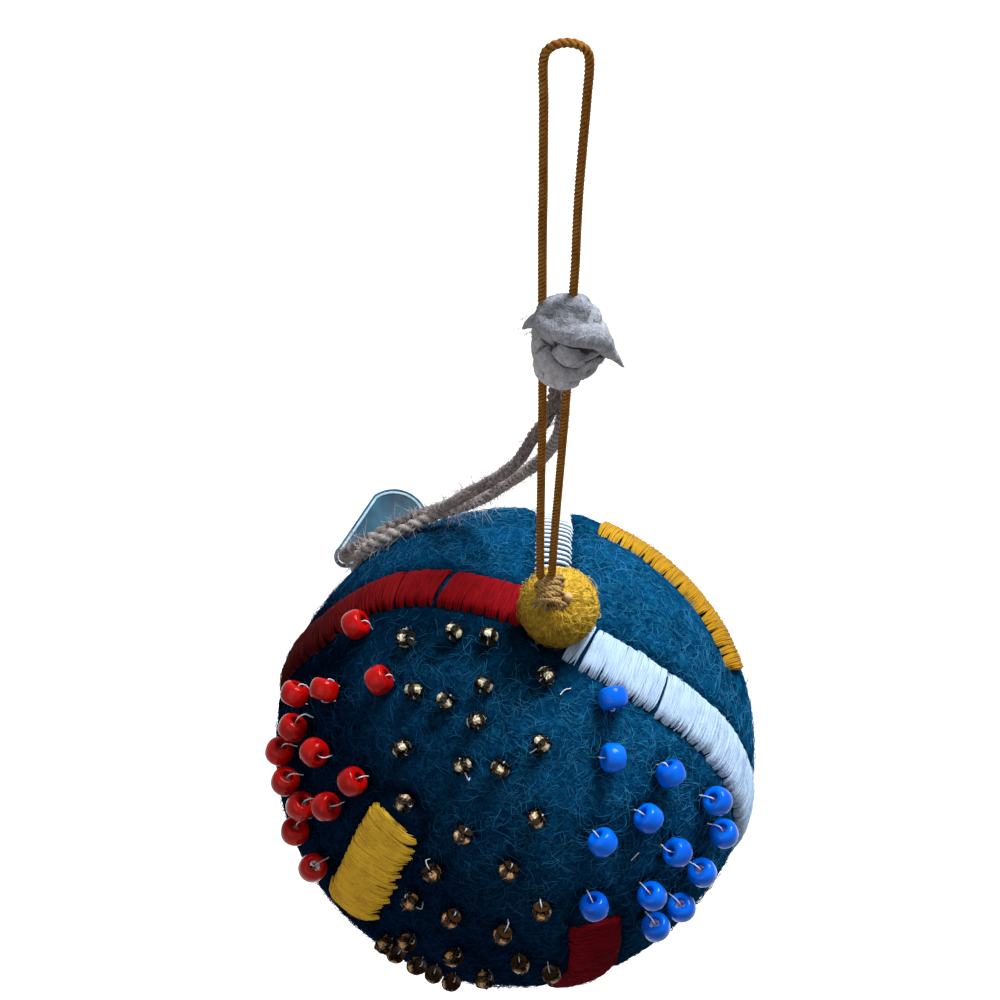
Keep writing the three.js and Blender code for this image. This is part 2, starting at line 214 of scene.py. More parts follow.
def paintPoints(mesh, name, values):
    # one value at each point, which a material reads by this name
    mesh.attributes.new(name, "FLOAT", "POINT").data.foreach_set("value", np.asarray(values, np.float32))


smoothTube = {"plies": 0, "plyDepth": 0.0, "lay": 1.0}


def tube(name, line, radius, material, sides=12, twist=smoothTube):
    # radius is one number or one for each point; the plies of the twist turn once round in each lay
    plies, depth, lay = twist["plies"], twist["plyDepth"], twist["lay"]
    radii = np.broadcast_to(radius, len(line))
    run = runAlong(line)
    forward = unit(np.gradient(line, axis=0))
    anyWay = [0.31, 0.87, 0.22]
    side = unit(np.cross(forward[0], anyWay))
    around = np.arange(sides) / sides
    angle = 2 * np.pi * around
    points = []
    for i, place in enumerate(line):
        side = unit(side - forward[i] * (side @ forward[i]))
        other = np.cross(forward[i], side)
        turned = 2 * np.pi * run[i] / lay
        reach = radii[i] * (1 - depth * (0.5 - 0.5 * np.cos(plies * (angle - turned))))
        ring = np.cos(angle)[:, None] * side + np.sin(angle)[:, None] * other
        points.append(place + reach[:, None] * ring)
    faces, uv = [], []
    for i in range(len(line) - 1):
        turn, nextTurn = run[i] / lay, run[i + 1] / lay
        for k in range(sides):
            n = (k + 1) % sides
            faces.append((i * sides + k, i * sides + n, (i + 1) * sides + n, (i + 1) * sides + k))
            uv += [
                (around[k] - turn, run[i] / mm), (around[k] + 1 / sides - turn, run[i] / mm),
                (around[k] + 1 / sides - nextTurn, run[i + 1] / mm), (around[k] - nextTurn, run[i + 1] / mm),
            ]
    last = (len(line) - 1) * sides
    faces += [tuple(range(sides))[::-1], tuple(last + k for k in range(sides))]
    uv += [(0, 0)] * (2 * sides)
    mesh = bpy.data.meshes.new(name)
    mesh.from_pydata(np.vstack(points).tolist(), [], faces)
    mesh.uv_layers.new(name="UVMap").data.foreach_set("uv", np.array(uv, np.float32).ravel())
    mesh.polygons.foreach_set("use_smooth", [True] * len(faces))
    return newPiece(name, mesh, material)


def strands(name, lines, thickness, material, resolution=0, tips=None):
    # many fine strands as one piece; tips gives the thickness along a strand as shares
    data = bpy.data.curves.new(name, "CURVE")
    data.dimensions = "3D"
    data.bevel_depth = thickness
    data.bevel_resolution = resolution
    data.use_fill_caps = True
    for line in lines:
        spline = data.splines.new("POLY")
        spline.points.add(len(line) - 1)
        spline.points.foreach_set("co", np.column_stack([line, np.ones(len(line))]).ravel())
        if tips is not None:
            spline.points.foreach_set("radius", stretched(tips, len(line)))
    piece = newPiece(name, data, material)
    selectOnly(piece)
    bpy.ops.object.convert(target="MESH")
    return piece


# Finishes

class Nodes:
    # a short way to place and join shader nodes in one tree
    def __init__(self, tree):
        self.tree = tree

    def add(self, kind, settings=None, **inputs):
        # inputs go by their name, or by their number as i0 and i1
        node = self.tree.nodes.new(kind)
        for key, value in (settings or {}).items():
            setattr(node, key, value)
        for key, value in inputs.items():
            socket = node.inputs[int(key[1:])] if key[0] == "i" and key[1:].isdigit() else node.inputs[key]
            self.put(socket, value)
        return node

    def put(self, socket, value):
        if isinstance(value, bpy.types.NodeSocket):
            self.tree.links.new(value, socket)
        elif isinstance(value, tuple) and len(value) == 3 and socket.type == "RGBA":
            socket.default_value = (*value, 1)
        else:
            socket.default_value = value

    def math(self, operation, a, b=0.0, clamp=False):
        return self.add("ShaderNodeMath", {"operation": operation, "use_clamp": clamp}, i0=a, i1=b).outputs[0]

    def plus(self, a, b):
        return self.math("ADD", a, b)

    def minus(self, a, b, clamp=False):
        return self.math("SUBTRACT", a, b, clamp)

    def times(self, a, b):
        return self.math("MULTIPLY", a, b)

    def larger(self, a, b):
        return self.math("MAXIMUM", a, b)

    def noise(self, vector, scale, detail=2.0, distortion=0.0):
        return self.add(
            "ShaderNodeTexNoise", None, Vector=vector, Scale=scale, Detail=detail, Distortion=distortion
        ).outputs["Fac"]

    def spread(self, value, low, high):
        # 0 where the value is low, up to 1 where it is high
        node = self.add("ShaderNodeMapRange", None, Value=value)
        node.inputs["From Min"].default_value = low
        node.inputs["From Max"].default_value = high
        return node.outputs["Result"]

    def patches(self, place, scale, low=0.3, high=0.7, detail=2.0, distortion=0.0):
        # 0 to 1 in soft patches
        return self.spread(self.noise(place["Object"], scale, detail, distortion), low, high)

    def painted(self, name):
        return self.add("ShaderNodeAttribute", {"attribute_name": name}).outputs["Fac"]

    def blend(self, factor, a, b):
        node = self.add("ShaderNodeMix", {"data_type": "RGBA"})
        self.put(node.inputs["Factor"], factor)
        self.put(node.inputs[6], a)
        self.put(node.inputs[7], b)
        return node.outputs[2]

    def side(self, place, paintedLightSlope):
        # 0 to 1 across a ball, from its side with painted shade to its side with painted light
        height = self.add(
            "ShaderNodeVectorMath", {"operation": "DOT_PRODUCT"}, i0=place["Object"], i1=paintedLightSlope["way"]
        ).outputs["Value"]
        middle = float(np.dot(paintedLightSlope["centre"], paintedLightSlope["way"]))
        low, high = (middle + paintedLightSlope["radius"] * share for share in paintedLightSlope["shares"])
        return self.spread(height, low, high)


# each layer of curled lines: how far it is moved in the noise, its share of the scale, its lines' width
curls = {
    "layers": [((0, 0, 0), 1.0, 0.035), ((3.1, 1.7, 5.2), 1.7, 0.05), ((7.7, 2.3, 0.4), 0.6, 0.025)],
    "lineDetail": 1.5, "lineWarp": 1.4, "depthShare": 2.2, "depthDetail": 3.0, "depthWarp": 0.6,
}


def swirlGroup():
    # fine curled lines, as loose fibres draw on felt: the thin edge where a warped noise is halfway
    group = bpy.data.node_groups.new("fibreSwirl", "ShaderNodeTree")
    for name, way, kind in [("Vector", "INPUT", "Vector"), ("Scale", "INPUT", "Float"),
                            ("Lines", "OUTPUT", "Float"), ("Depth", "OUTPUT", "Float")]:
        group.interface.new_socket(name=name, in_out=way, socket_type="NodeSocket" + kind)
    n = Nodes(group)
    start = n.add("NodeGroupInput").outputs
    end = n.add("NodeGroupOutput")
    lines = 0.0
    for shift, share, width in curls["layers"]:
        moved = n.add("ShaderNodeVectorMath", {"operation": "ADD"}, i0=start["Vector"], i1=shift).outputs[0]
        field = n.noise(moved, n.times(start["Scale"], share), curls["lineDetail"], curls["lineWarp"])
        ridge = n.math("DIVIDE", n.math("ABSOLUTE", n.minus(field, 0.5)), width)
        lines = n.larger(lines, n.minus(1.0, ridge, True))
    n.put(end.inputs["Lines"], lines)
    depthScale = n.times(start["Scale"], curls["depthShare"])
    n.put(end.inputs["Depth"], n.noise(start["Vector"], depthScale, curls["depthDetail"], curls["depthWarp"]))
    return group


fibreSwirl = swirlGroup()


def principled(name, colour, roughness, shine=0.0):
    material = bpy.data.materials.new(name)
    material.use_nodes = True
    shader = material.node_tree.nodes["Principled BSDF"]
    shader.inputs["Base Color"].default_value = (*colour, 1)
    shader.inputs["Roughness"].default_value = roughness
    shader.inputs["Specular IOR Level"].default_value = shine
    n = Nodes(material.node_tree)
    place = n.add("ShaderNodeTexCoord").outputs
    return material, n, shader, place


def bump(n, shader, height, strength, distance):
    node = n.add("ShaderNodeBump", None, Height=height, Strength=strength, Distance=distance)
    n.put(shader.inputs["Normal"], node.outputs["Normal"])


# painted light and shade: which way a finish gets lighter over the ball, the pompom or the wool, and
# between which shares of its radius
paintedLightSlopes = {
    "ball": {"centre": ballCentre, "radius": ballRadius, "way": (0.75, 0.25, 0.6), "shares": (-0.2, 0.72)},
    "front": {"centre": ballCentre, "radius": ballRadius, "way": (-0.5, -0.4, 0.75), "shares": (-0.2, 0.9)},
    "height": {"centre": ballCentre, "radius": ballRadius, "way": (0, 0.4, 0.92), "shares": (0.1, 0.8)},
    "pompom": {
        "centre": pompomMiddle, "radius": pompom["radius"], "way": (0.4, 0.35, 0.85), "shares": (-1.3, 0.85),
    },
    "wool": {
        "centre": waist - (0, 0, 6 * mm), "radius": 7 * mm, "way": (0.25, 0.2, 0.95), "shares": (-1, 0.9),
    },
}
# how felt looks, with the colour of its painted shade and how much of it the point attribute brings in
feltLook = {
    "roughness": 0.95, "depthShare": 0.45, "lineShare": 0.6, "lineHeight": 0.6, "bumpHeight": 0.25 * mm,
    "paintedShade": (0.0, 0.001, 0.003), "paintedShadeShare": 0.85,
}


def feltFinish(name, low, high, scale, paintedLightSlope, mottling, relief=0.9):
    # felt with painted shade on one side, by its gradient: a mottled ground under fine curled fibres; low and
    # high are both colours there, on the shaded side and on the lit side
    material, n, shader, place = principled(name, high[0], feltLook["roughness"])
    side = n.side(place, paintedLightSlopes[paintedLightSlope])
    swirl = n.add("ShaderNodeGroup", {"node_tree": fibreSwirl}, Vector=place["Object"], Scale=scale).outputs
    mottle = n.patches(place, scale / 4, 0.3, 0.62, 3.0)
    fibre = n.blend(side, low[1], high[1])
    ground = n.blend(side, low[0], high[0])
    ground = n.blend(n.times(n.minus(1.0, mottle), mottling), ground, (0.0, 0.0, 0.0))
    base = n.blend(n.times(n.spread(swirl["Depth"], 0.42, 0.75), feltLook["depthShare"]), ground, fibre)
    base = n.blend(n.times(swirl["Lines"], feltLook["lineShare"]), base, fibre)
    # painted shade from the point attribute: in creases, beside and round what is sewn on, and in cast shadow
    paintedShade = n.times(n.painted("paintedShade"), feltLook["paintedShadeShare"])
    n.put(shader.inputs["Base Color"], n.blend(paintedShade, base, feltLook["paintedShade"]))
    height = n.plus(n.times(swirl["Lines"], feltLook["lineHeight"]), swirl["Depth"])
    bump(n, shader, height, relief, feltLook["bumpHeight"])
    return material


def coreFinish():
    material, n, shader, place = principled("packedWool", (0.6, 0.56, 0.48), 0.95, 0.1)
    swirl = n.add("ShaderNodeGroup", {"node_tree": fibreSwirl}, Vector=place["Object"], Scale=500.0).outputs
    n.put(shader.inputs["Base Color"], n.blend(swirl["Lines"], (0.55, 0.5, 0.42), (0.75, 0.72, 0.66)))
    bump(n, shader, swirl["Depth"], 0.8, 0.3 * mm)
    return material


def fibreFinish(name, dark, pale, scale, roughness=0.8, paintedLightSlope=None):
    # single hairs and threads, whose colour drifts from one to the next; with a gradient, painted shade on
    # one side
    material, n, shader, place = principled(name, pale, roughness)
    drift = n.patches(place, scale)
    if paintedLightSlope:
        drift = n.times(n.plus(drift, 0.35), n.side(place, paintedLightSlopes[paintedLightSlope]))
    n.put(shader.inputs["Base Color"], n.blend(drift, dark, pale))
    return material


def flossFinish(name, dark, colour, pale, roughness=0.6, paintedLightSlope=None, shade=0.8):
    # stranded cotton: slow drift from stitch to stitch and a fine grain on each strand; a gradient paints
    # shade on one side, where the colour darkens to shade times the dark colour
    material, n, shader, place = principled(name, colour, roughness, 0.03)
    drift = n.patches(place, 420, 0.25, 0.55)
    grain = n.patches(place, 5200, distortion=0.4)
    base = n.blend(n.times(grain, 0.5), n.blend(drift, dark, colour), pale)
    if paintedLightSlope:
        base = n.blend(n.side(place, paintedLightSlopes[paintedLightSlope]), tuple(shade * part for part in dark), base)
    n.put(shader.inputs["Base Color"], base)
    bump(n, shader, grain, 0.4, 0.05 * mm)
    return material


def cordFinish(name, grooveShade, colour, pale, plies, patches=260, paleFrom=1000, darkTo=0):
    # a twisted cord: the plies run straight in the UV map, and the furrows between them get painted shade;
    # from paleFrom millimetres on, the cord is paler, and up to darkTo it has no pale patches
    material, n, shader, place = principled(name, colour, 0.8)
    places = n.add("ShaderNodeSeparateXYZ", None, Vector=place["UV"]).outputs
    phase = n.times(places["X"], 2 * math.pi * plies)
    crest = n.spread(n.math("COSINE", phase), -1.0, 0.3)
    grain = n.patches(place, 3600, detail=3.0, distortion=0.5)
    drift = n.patches(place, patches, 0.38, 0.62)
    if darkTo:
        drift = n.times(drift, n.spread(places["Y"], darkTo * 0.4, darkTo))
    drift = n.larger(drift, n.times(n.spread(places["Y"], paleFrom, paleFrom + 20), 1.3))
    base = n.blend(drift, colour, n.blend(0.45, colour, pale))
    base = n.blend(crest, grooveShade, base)
    n.put(shader.inputs["Base Color"], n.blend(n.times(grain, 0.45), base, pale))
    bump(n, shader, n.plus(crest, n.times(grain, 0.5)), 0.5, 0.08 * mm)
    return material


def beadFinish(name, deep, colour):
    material, n, shader, place = principled(name, colour, 0.14, 0.1)
    n.put(shader.inputs["Base Color"], n.blend(n.patches(place, 300), deep, colour))
    wear = n.noise(place["Object"], 2600, 3.0)
    n.put(shader.inputs["Roughness"], n.plus(n.times(wear, 0.12), 0.08))
    return material


# gold bead colours for the underside and the top of the ball: painted light on top, painted glints in the
# lining
amber = {
    "shell": ((0.04, 0.018, 0.006), (0.02, 0.017, 0.012)),
    "dimLining": ((0.34, 0.16, 0.05), (0.5, 0.43, 0.26)),
    "liningGlint": ((0.62, 0.33, 0.13), (0.86, 0.8, 0.58)),
}


def goldBeadFinish():
    # dark amber glass round a pale four sided lining, which shows through it as facets along the bead: the
    # lining's own pale colour with its glints painted in, dimmer in patches; each colour is given for the
    # underside of the ball and for its top, paler on top as painted light
    material, n, shader, place = principled("amberGlass", (0.1, 0.06, 0.02), 0.16, 0.2)
    inside = n.minus(1.0, n.spread(n.painted("reach"), 0.62, 0.7))
    shown = n.times(n.spread(n.painted("facet"), 0.0, 0.16), inside)
    height = n.side(place, paintedLightSlopes["height"])
    shell, dimLining, liningGlint = (n.blend(height, *amber[part]) for part in ("shell", "dimLining", "liningGlint"))
    lining = n.blend(n.patches(place, 1500, 0.2, 0.5, 1.0), dimLining, liningGlint)
    n.put(shader.inputs["Base Color"], n.blend(shown, shell, lining))
    return material


finishes = {
    # felt and its hairs: painted shade to the left and underneath the ball, painted light to its top right
    "felt": feltFinish("tealFelt", ((0.001, 0.0055, 0.02), (0.002, 0.023, 0.068)),
                       ((0.001, 0.036, 0.11), (0.008, 0.14, 0.305)), 620, "ball", 0.75),
    "feltHair": fibreFinish("tealHair", (0.004, 0.028, 0.08), (0.032, 0.21, 0.4), 500, 0.8, "ball"),
    # pompom and its hairs: painted light on top, painted shade towards the ball
    "ochre": feltFinish("ochreFelt", ((0.11, 0.047, 0.003), (0.26, 0.13, 0.009)),
                        ((0.52, 0.3, 0.014), (0.72, 0.475, 0.042)), 1300, "pompom", 0.28, 0.6),
    "ochreHair": fibreFinish("ochreHair", (0.13, 0.055, 0.004), (0.84, 0.58, 0.085), 1400, 0.8, "pompom"),
    "core": coreFinish(),
    # the cords: painted shade in the furrows between the plies
    "cord": cordFinish("goldCord", (0.04, 0.011, 0.002), (0.205, 0.064, 0.009), (0.42, 0.2, 0.045), 3),
    "hitch": cordFinish("paleCord", (0.04, 0.016, 0.004), (0.22, 0.105, 0.03), (0.6, 0.42, 0.18), 3, 700),
    "knob": fibreFinish("paleKnob", (0.42, 0.25, 0.1), (0.68, 0.46, 0.24), 900),
    # the wool: painted light on its underside, painted shade on its top
    "wool": feltFinish("greyWool", ((0.5, 0.47, 0.49), (0.8, 0.78, 0.82)),
                       ((0.18, 0.185, 0.215), (0.4, 0.44, 0.52)), 700, "wool", 0.35, 0.4),
    "woolHair": fibreFinish("greyHair", (0.24, 0.23, 0.24), (0.5, 0.5, 0.53), 700),
    "yarn": cordFinish("brownYarn", (0.016, 0.007, 0.005), (0.06, 0.031, 0.022), (0.55, 0.52, 0.52), 2,
                       paleFrom=104, darkTo=50),
    "yarnHair": fibreFinish("taupeHair", (0.07, 0.045, 0.038), (0.58, 0.53, 0.52), 180),
    # the red band: painted shade towards the left of the ball
    "red": flossFinish("redFloss", (0.13, 0.001, 0.002), (0.22, 0.002, 0.005), (0.33, 0.009, 0.014),
                       paintedLightSlope="ball", shade=0.3),
    "darkRed": flossFinish("darkRedFloss", (0.06, 0.001, 0.002), (0.125, 0.001, 0.005), (0.2, 0.003, 0.012)),
    "white": flossFinish("whiteFloss", (0.27, 0.37, 0.5), (0.37, 0.5, 0.67), (0.49, 0.62, 0.79)),
    # both yellow bands: painted shade on the upper band at the back, painted light on the lower band at the
    # front
    "yellow": flossFinish("yellowFloss", (0.46, 0.23, 0.011), (0.7, 0.41, 0.024), (0.92, 0.68, 0.1),
                          paintedLightSlope="front"),
    "silver": flossFinish("silverThread", (0.32, 0.42, 0.5), (0.58, 0.68, 0.76), (0.85, 0.9, 0.93), 0.4),
    "sewing": fibreFinish("sewingThread", (0.46, 0.5, 0.56), (0.72, 0.77, 0.84), 900, 0.5),
    "redBead": beadFinish("redGlass", (0.26, 0.001, 0.001), (0.42, 0.003, 0.002)),
    "blueBead": beadFinish("blueGlass", (0.0, 0.07, 0.48), (0.0, 0.125, 0.7)),
    # the gold beads: painted glints in their lining, painted light towards the top of the ball
    "gold": goldBeadFinish(),
}
print("finishes ready")


# Camera, lights, floor and backdrop

view = {"fromBall": (-1.893 * mm, -200 * mm, 346.41 * mm), "tilt": 34.451, "lens": 113.76, "sensor": 36}


def setCamera():
    data = bpy.data.cameras.new("camera")
    data.lens = view["lens"]
    data.sensor_width = view["sensor"]
    camera = bpy.data.objects.new("camera", data)
    scene.collection.objects.link(camera)
    camera.location = Vector(ballCentre) + Vector(view["fromBall"])
    camera.rotation_euler = (math.radians(view["tilt"]), 0, 0)
    scene.camera = camera


lamps = {
    "key": {"from": (0.21, 0.26, 0.5), "size": 0.26, "power": 6.9, "colour": (0.94, 0.97, 1.0)},
    "fill": {"from": (-0.3, -0.35, 0.4), "size": 0.5, "power": 1.1, "colour": (1.0, 0.97, 0.93)},
}


def setLights():
    for name, lamp in lamps.items():
        data = bpy.data.lights.new(name, "AREA")
        data.energy = lamp["power"]
        data.size = lamp["size"]
        data.color = lamp["colour"]
        piece = bpy.data.objects.new(name, data)
        scene.collection.objects.link(piece)
        piece.location = Vector(ballCentre) + Vector(lamp["from"])
        piece.rotation_euler = (-Vector(lamp["from"])).to_track_quat("-Z", "Y").to_euler()


backdrop = {
    "ambient": 0.24, "floorDepth": 0.4, "floorSize": 8, "floorColour": (0.8, 0.8, 0.8), "floorGlow": 0.62,
}


def seenPlainly(n):
    # 1 for what the camera sees, directly or through and off glass and metal
    path = n.add("ShaderNodeLightPath").outputs
    direct = n.larger(path["Is Camera Ray"], path["Is Glossy Ray"])
    return n.larger(direct, path["Is Transmission Ray"])


def setBackdrop():
    world = bpy.data.worlds.new("backdrop")
    scene.world = world
    world.use_nodes = True
    n = Nodes(world.node_tree)
    back = world.node_tree.nodes["Background"]
    back.inputs["Color"].default_value = (1, 1, 1, 1)
    n.put(back.inputs["Strength"], n.spread(seenPlainly(n), 0.0, 1.0))
    back.inputs["Strength"].links[0].from_node.inputs["To Min"].default_value = backdrop["ambient"]


def setFloor():
    bpy.ops.object.select_all(action="DESELECT")
    bpy.ops.mesh.primitive_plane_add(size=backdrop["floorSize"], location=(0, 0, -backdrop["floorDepth"]))
    floor = bpy.context.object
    floor.name = "floor"
    material, n, shader = principled("paleFloor", backdrop["floorColour"], 1.0)[:3]
    glow = n.add("ShaderNodeEmission", None, Color=(1.0, 1.0, 1.0))
    n.put(glow.inputs["Strength"], n.times(seenPlainly(n), backdrop["floorGlow"]))
    both = n.add("ShaderNodeAddShader", None, i0=shader.outputs[0], i1=glow.outputs[0])
    n.put(material.node_tree.nodes["Material Output"].inputs["Surface"], both.outputs[0])
    floor.data.materials.append(material)


setCamera()
setLights()
setBackdrop()
setFloor()
scene.view_settings.view_transform = "Standard"
print("camera, lights and floor ready")


# Cords: the loop's and the yarn's routes are in millimetres, from the waist and from the ball's middle

cord = {"radius": 0.5 * mm, "plies": 3, "lay": 1.9 * mm, "plyDepth": 0.2, "step": 0.16 * mm}
loopRoute = [
    (-1.55, 0, 0.3), (-1.6, 0, 6), (-1.65, 0, 12), (-1.65, 0, 18), (-1.7, 0, 24), (-1.75, 0, 31),
    (-1.8, 0, 36.7), (-1.52, 0, 37.75), (-0.75, 0, 38.52), (0.3, 0, 38.8), (1.35, 0, 38.52),
    (2.12, 0, 37.75), (2.4, 0, 36.7), (2.3, 0, 31), (2.05, 0, 24), (1.85, 0, 18), (1.75, 0, 12),
    (1.7, 0, 6), (1.55, 0, 0.3),
]


def makeLoop():
    line = smoothLine([waist + np.array(place) * mm for place in loopRoute], cord["step"])
    loop = tube("loopCord", line, cord["radius"], finishes["cord"], twist=cord)
    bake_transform(loop)
    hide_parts("hanging_loop")


# the legs' distance at the hitch and in the wool, how far they sink into the hitch, and how they bow aside
legs = {
    "footSpread": 1.3 * mm, "topSpread": 3.1 * mm, "sink": 1.1 * mm,
    "bowShares": [0, -0.01, 0.01, 0.03, 0.02, 0],
}


def makeLegs():
    shares = legs["bowShares"]
    for name, node, way in [("legCordLeft", "cord_leg_left", -1), ("legCordRight", "cord_leg_right", 1)]:
        foot = swing + (way * legs["footSpread"] / 2, 0, -legs["sink"])
        top = waist + (way * legs["topSpread"] / 2, 0, 0)
        route = [
            foot + (top - foot) * i / (len(shares) - 1) + (bow * legs["topSpread"], 0, 0)
            for i, bow in enumerate(shares)
        ]
        line = smoothLine(route, cord["step"])
        leg = tube(name, line, cord["radius"], finishes["cord"], twist=cord)
        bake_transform(leg)
        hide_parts(node)


yarnRoute = [
    (3.9, 1.1, 79.4), (4, 1.3, 76), (3.8, 1.8, 70.5), (3.2, 2.4, 67), (2.2, 3.3, 63.5), (0, 5.8, 54),
    (-3.1, 9.7, 44.5), (-5.8, 14.2, 35.5), (-8.6, 19.2, 25.6), (-11.9, 22.3, 19.2), (-15.4, 23, 15.6),
    (-18.7, 22.2, 13.4),
    (-21, 22.8, 10.2), (-21.9, 25, 6.1), (-22.1, 26.9, 2.8), (-22.1, 27.9, 1.1), (-22.1, 28.7, -0.3),
    (-21.7, 29.2, -2), (-20.8, 28.7, -3), (-19.8, 27.5, -3.1), (-19.4, 26.2, -1.9), (-19.4, 25.3, -0.4),
    (-19.6, 23.7, 3.4), (-19.8, 21.4, 9.1), (-19.3, 19.5, 14.7), (-17.3, 18.8, 18.1), (-13.4, 19.6, 20.3),
    (-9.4, 20, 22.6), (-5.2, 18.4, 27.4), (-1, 13.6, 38.6), (2.6, 8.7, 50.2), (4.5, 5.1, 59.8),
    (4.9, 3, 67.5), (4.8, 1.7, 75), (4.7, 1.2, 79.4),
]
yarn = {
    "radius": 0.74 * mm, "sides": 14, "plies": 2, "lay": 3.0 * mm, "plyDepth": 0.3, "step": 0.22 * mm,
    "lumps": [(0.12, 400)], "thickLeftOf": -19 * mm, "thicker": 0.14,
    "hairs": 3000, "hairLength": 1.8 * mm, "hairStand": 0.5, "hairCurl": 1.1, "hairThickness": 0.022 * mm,
    "longHairs": 420, "longHairLength": 4.6 * mm, "longHairStand": 0.6, "longHairCurl": 1.9,
}
stray = {
    "root": 0.75, "slant": (0.4, 1.6), "out": (0.2, 1), "lengths": (0.35, 1), "bending": 0.35, "wobble": 0.12,
}
hairParts = 6    # straight parts in every hair


def fuzz(line, radius, count, length, stand, curl=0.5):
    # short curved hairs that leave a yarn at a slant
    lines = []
    forward = unit(np.gradient(line, axis=0))
    for pick in dice.integers(1, len(line) - 1, count):
        out = dice.normal(size=3)
        out = unit(out - forward[pick] * (out @ forward[pick]))
        slant = forward[pick] * dice.choice([-1, 1]) * dice.uniform(*stray["slant"])
        way = unit(slant + out * dice.uniform(*stray["out"]) * stand)
        bend = dice.normal(size=3) * curl
        hair = [line[pick] + out * radius * stray["root"]]
        reach = length * dice.uniform(*stray["lengths"])
        for part in range(hairParts):
            way = unit(way + bend * stray["bending"] + dice.normal(size=3) * stray["wobble"])
            hair.append(hair[-1] + way * reach / hairParts)
        lines.append(np.array(hair))
    return lines


def makeYarn():
    line = smoothLine([ballCentre + np.array(place) * mm for place in yarnRoute], yarn["step"])
    thickness = yarn["radius"] * (1 + lumps(line, yarn["lumps"]))
    thickness *= 1 + yarn["thicker"] * (line[:, 0] < yarn["thickLeftOf"])
    twisted = tube("tagYarn", line, thickness, finishes["yarn"], yarn["sides"], yarn)
    lines = fuzz(line, yarn["radius"], yarn["hairs"], yarn["hairLength"], yarn["hairStand"], yarn["hairCurl"])
    nearTag = line[len(line) // 5:-len(line) // 5]
    lines += fuzz(nearTag, yarn["radius"], yarn["longHairs"], yarn["longHairLength"], yarn["longHairStand"],
                  yarn["longHairCurl"])
    hairs = strands("tagYarnFuzz", lines, yarn["hairThickness"], finishes["yarnHair"], tips=(1, 1, 0.6))
    for piece in (twisted, hairs):
        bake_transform(piece)
    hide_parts("tag_yarn")


makeLoop()
makeLegs()
makeYarn()
print("cords ready")


# The hitch on the pompom: a coil, loose wraps over it (tilt, size and shift in millimetres) and small
# knobs of the cord (place from the hitch's middle and radius in millimetres)

hitch = {
    "lon": -34, "lat": 71, "seat": 6.3 * mm, "coil": 1.1 * mm, "cord": 0.34 * mm, "turns": 5.5,
    "pitch": 0.66 * mm, "rise": 1.7 * mm, "lead": 1.4 * mm, "lay": 1.3 * mm, "step": 0.12 * mm,
    "plies": 3, "plyDepth": 0.2, "pointsPerTurn": 40, "uneven": 0.12, "unevenRate": 5.3,
    "knobs": [(2.1, 0.1, -1.3, 0.6), (1.0, 2.7, -1.9, 0.3), (1.5, 1.8, -1.4, 0.33), (-1.7, -0.9, -1.5, 0.35)],
}
wraps = {
    "places": [(28, 1.5, -0.5), (-24, 1.6, 0.3), (62, 1.45, -0.9), (-50, 1.6, -0.7), (8, 1.65, 1.1),
               (-12, 1.75, -1.4), (35, 1.7, 0.8), (-35, 1.6, 1.5), (75, 1.6, 0.4)],
    "cord": 0.22 * mm, "sides": 10, "plies": 3, "plyDepth": 0.25, "lay": 1 * mm,
    "tuck": 0.9, "points": 26, "uneven": 0.09, "flatter": 0.86, "lower": 0.12,
}


def makeCoil(middle, out, axis, side):
    line = []
    for turn in np.linspace(0, hitch["turns"], round(hitch["turns"] * hitch["pointsPerTurn"])):
        angle = math.pi * (1 + hitch["turns"] * 2) - 2 * math.pi * turn
        reach = hitch["coil"] * (1 + hitch["uneven"] * math.sin(hitch["unevenRate"] * turn))
        line.append(
            middle + axis * (turn - hitch["turns"] / 2) * hitch["pitch"]
            + reach * (side * math.cos(angle) + out * math.sin(angle))
        )
    line = [line[0] - out * hitch["lead"], *line, line[-1] + out * hitch["rise"]]
    coil = tube("hitchCord", smoothLine(line, hitch["step"]), hitch["cord"], finishes["hitch"], twist=hitch)
    attach(coil, "ball", "gold_cord", "cord_hitch")


def makeWraps(middle, out, axis, side):
    for i, (tilt, size, shift) in enumerate(wraps["places"]):
        lean = math.radians(tilt)
        across = side * math.cos(lean) + axis * math.sin(lean)
        line = []
        for angle in np.linspace(-wraps["tuck"], math.pi + wraps["tuck"], wraps["points"]):
            rough = 1 + wraps["uneven"] * noise.noise(Vector((3 * angle, 7.1 * i, 0.5)))
            high = math.sin(angle) * wraps["flatter"] - wraps["lower"]
            arch = across * math.cos(angle) + out * high
            line.append(middle + axis * shift * mm + size * mm * rough * arch)
        line = smoothLine(line, hitch["step"])
        wrap = tube(f"hitchWrap{i + 1}", line, wraps["cord"], finishes["hitch"], wraps["sides"], wraps)
        attach(wrap, "ball", "gold_cord")


def makeHitch():
    out = toward(hitch["lon"], hitch["lat"])
    middle = pompomMiddle + out * hitch["seat"]
    axis = unit(np.array([0, 1, 0]) - out * out[1])
    side = np.cross(axis, out)
    makeCoil(middle, out, axis, side)
    makeWraps(middle, out, axis, side)
    for i, (x, y, z, radius) in enumerate(hitch["knobs"]):
        knob = newBall(f"hitchKnob{i + 1}", radius * mm, 4, middle + np.array([x, y, z]) * mm)
        knob.data.materials.append(finishes["hitch" if i else "knob"])
        attach(knob, "ball", "gold_cord")


makeHitch()
print("hitch ready")


# The grey wool round the legs: millimetres from the waist. Each row of the shape is a height, the left
# and right edge there, and how far the strand runs in front of and behind the legs. Each fold has its
# places and its radii along them, and the last one fills the middle.

